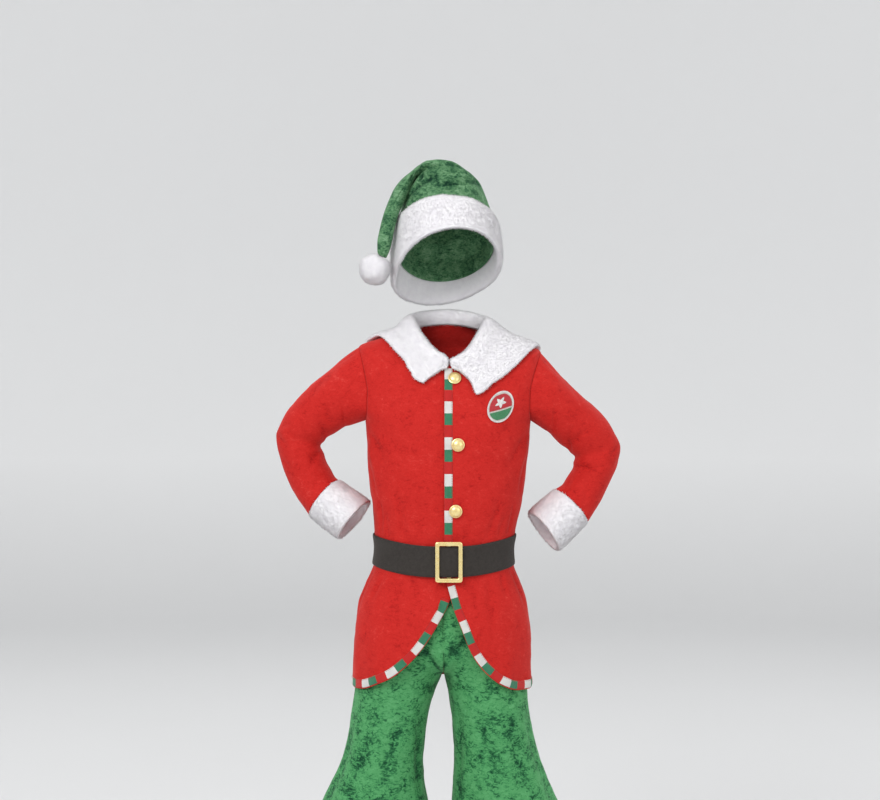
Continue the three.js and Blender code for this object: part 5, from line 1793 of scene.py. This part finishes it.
def binding_lines():
    """The outer and inner line of each binding. The left one runs down the front's edge, then the hem."""
    shoulder = np.linspace(NECK_LEVEL - 1, SHOULDER_LEVEL, 20)
    levels = np.concatenate([shoulder, np.linspace(SHOULDER_LEVEL - 2, BELT_FOOT, 150)])
    left = []
    for inset, hem_line in zip((0, BINDING_WIDTH), hem_lines(HEM_LEFT, np.linspace(89.5, 1.5, 210))):
        front_line = (front_angle(OVERLAP_EDGE + inset, levels), levels)
        left.append(tuple(np.concatenate(pair) for pair in zip(front_line, hem_line)))
    right = hem_lines(HEM_RIGHT, np.linspace(86.5, 178.5, 228))
    theta = np.linspace(181.5, 358.5, 260)
    foot = np.full(len(theta), HEM_LEVEL + 1)
    return left, right, ((theta, foot), (theta, foot + BINDING_WIDTH))


def bindings():
    left, right, back = binding_lines()
    for name, lines, marks, direction, sink in (
        ("jacket_binding_left", left, [(2, -94.2, 0), (8, -378.5, 9.2)], 1, None),
        ("jacket_binding_right", right, [(-15.3, -416.5, 9.2)], -1, lap_sink),
        ("jacket_binding_back", back, [(100, HEM_LEVEL, 0)], 1, None),
    ):
        made = binding(name, *lines, marks, direction, binding_cloth, sink)
        grid = cloth(made, "striped_binding")
        line = mix(grid[:, -2], grid[:, -1], 0.3)[4:-4]
        normals = grid_normals(grid, False, BODY_INSIDE)[4:-4, -2]
        dress(stitches(f"{name}_stitches", line, normals, red_thread, 2.4, 3.6), "striped_binding")


def buttons():
    for name, x, level in (("top", 11.2, -4.5), ("middle", 16, -140), ("low", 12.6, -250)):
        dress(button(f"button_{name}", x, level, button_gold), "gold_plastic", f"button_{name}")


def patch():
    """A plain oval patch: a cream ground, a red field over a green one, a white star and a stitched rim."""
    dress(patch_ground(patch_twill), "patch_cloth", "chest_patch")
    dress(patch_field("chest_patch_red", -0.12, 0.8, patch_red), "patch_cloth")
    dress(patch_field("chest_patch_green", -0.8, -0.24, patch_green), "patch_cloth")
    dress(patch_star(patch_white), "patch_cloth")
    dress(patch_rim(patch_white), "patch_cloth")


def belt_and_buckle():
    cloth(belt("belt", belt_felt), "black_belt")
    dress(buckle("belt_buckle", buckle_gold), "gold_plastic", "belt_buckle")


def trousers():
    for side, rows, fork, seed in (("left", LEG_LEFT, FORK_LEFT, 91), ("right", LEG_RIGHT, FORK_RIGHT, 96)):
        for face, back in (("front", False), ("back", True)):
            name = f"trousers_{face}_{side}"
            grid = cloth(leg_panel(name, rows, back, seed, fork, green_velvet), "green_velvet")
            hem = rows.at(LEG_HEM)
            line = grid[:, -6]
            normals = unit(line - stack((hem["outer"] + hem["inner"]) / 2, 0, -750))
            dress(stitches(f"{name}_hem_stitches", line, normals, green_thread, 2.8, 4.4), "green_velvet")
    cloth(waistband("trousers_waistband", green_velvet), "green_velvet")


def leg_warmers():
    for name, rows, seed in (("leg_warmer_left", WARMER_LEFT, 101), ("leg_warmer_right", WARMER_RIGHT, 105)):
        cloth(leg_warmer(name, rows, seed, warmer_knit), "striped_knit")


def hat():
    band = plush_ring("hat_band", band_ring(0, 300), band_ring(1, 300), BAND_THICK, plush, HAT_BAND_PILE, 111)
    dress(band, "white_plush", "hat_band")
    for made in crown(hat_velvet):
        cloth(made, "green_velvet")
    dress(pompom("hat_pompom", plush), "white_plush", "hat_pompom")


# Stage, lights and camera

FLOOR = -1040.0
ROOM = 6500.0
COVE = 1800.0
LAMP_TARGET = Vector((0.0, 0.0, -0.25))


def stage():
    """A round pale studio: a floor that curves up into a wall all round."""
    turn = np.radians(np.linspace(0, 90, 16))
    radius = np.concatenate([[1.0, 1200, 2600, 3800], ROOM - COVE + COVE * np.sin(turn), [ROOM]])
    height = np.concatenate([[0.0, 0, 0, 0], COVE - COVE * np.cos(turn), [5200.0]]) + FLOOR
    around = np.radians(circle(120))[:, None]
    grid = stack(radius * np.cos(around), radius * np.sin(around), height + 0 * around)
    rows, columns = grid.shape[:2]
    middle = np.arange(rows)[None, :] * columns
    faces = [ring_faces(rows, columns, False), middle]
    make_mesh("studio", grid.reshape(-1, 3), faces, stage_material("studio"))


def light(name, place, size, power):
    data = bpy.data.lights.new(name, "AREA")
    data.shape = "DISK"
    data.size = size
    data.energy = power
    lamp = bpy.data.objects.new(name, data)
    lamp.location = place
    lamp.rotation_euler = (LAMP_TARGET - lamp.location).to_track_quat("-Z", "Y").to_euler()
    bpy.context.collection.objects.link(lamp)


def lights():
    """Soft lamps round the costume, all aimed at its middle, and an even glow from everywhere."""
    light("key", (-1.5, -2.9, 1.7), 1.6, 58)
    light("fill", (2.3, -2.7, 0.7), 2.2, 16)
    light("back left", (-2.4, 2.4, 2.2), 1.8, 26)
    light("back right", (2.6, 2.2, 2.0), 1.8, 26)
    light("overhead", (0.0, 0.2, 3.2), 2.6, 10)
    world = bpy.data.worlds.new("studio air")
    world.use_nodes = True
    world.node_tree.nodes["Background"].inputs["Color"].default_value = (1.0, 1.0, 1.0, 1.0)
    world.node_tree.nodes["Background"].inputs["Strength"].default_value = 0.76
    bpy.context.scene.world = world
    bpy.context.scene.view_settings.view_transform = "Standard"


# The photo's frame: its middle and width where the costume stands, and how far off it was taken from
VIEW_CENTRE_X = -10.8
VIEW_CENTRE_Z = -92.7
VIEW_WIDTH = 1360.0
CAMERA_HEIGHT = -50.0
CAMERA_AWAY = 3000.0


def camera():
    data = bpy.data.cameras.new("camera")
    data.sensor_width = 36.0
    data.lens = data.sensor_width * CAMERA_AWAY / VIEW_WIDTH
    data.shift_y = (VIEW_CENTRE_Z - CAMERA_HEIGHT) / VIEW_WIDTH
    obj = bpy.data.objects.new("camera", data)
    obj.location = Vector((VIEW_CENTRE_X, -CAMERA_AWAY, CAMERA_HEIGHT)) * MM
    obj.rotation_euler = (math.pi / 2, 0, 0)
    bpy.context.collection.objects.link(obj)
    bpy.context.scene.camera = obj


camera()
jacket()
bindings()
buttons()
patch()
belt_and_buckle()
trousers()
leg_warmers()
hat()
stage()
lights()
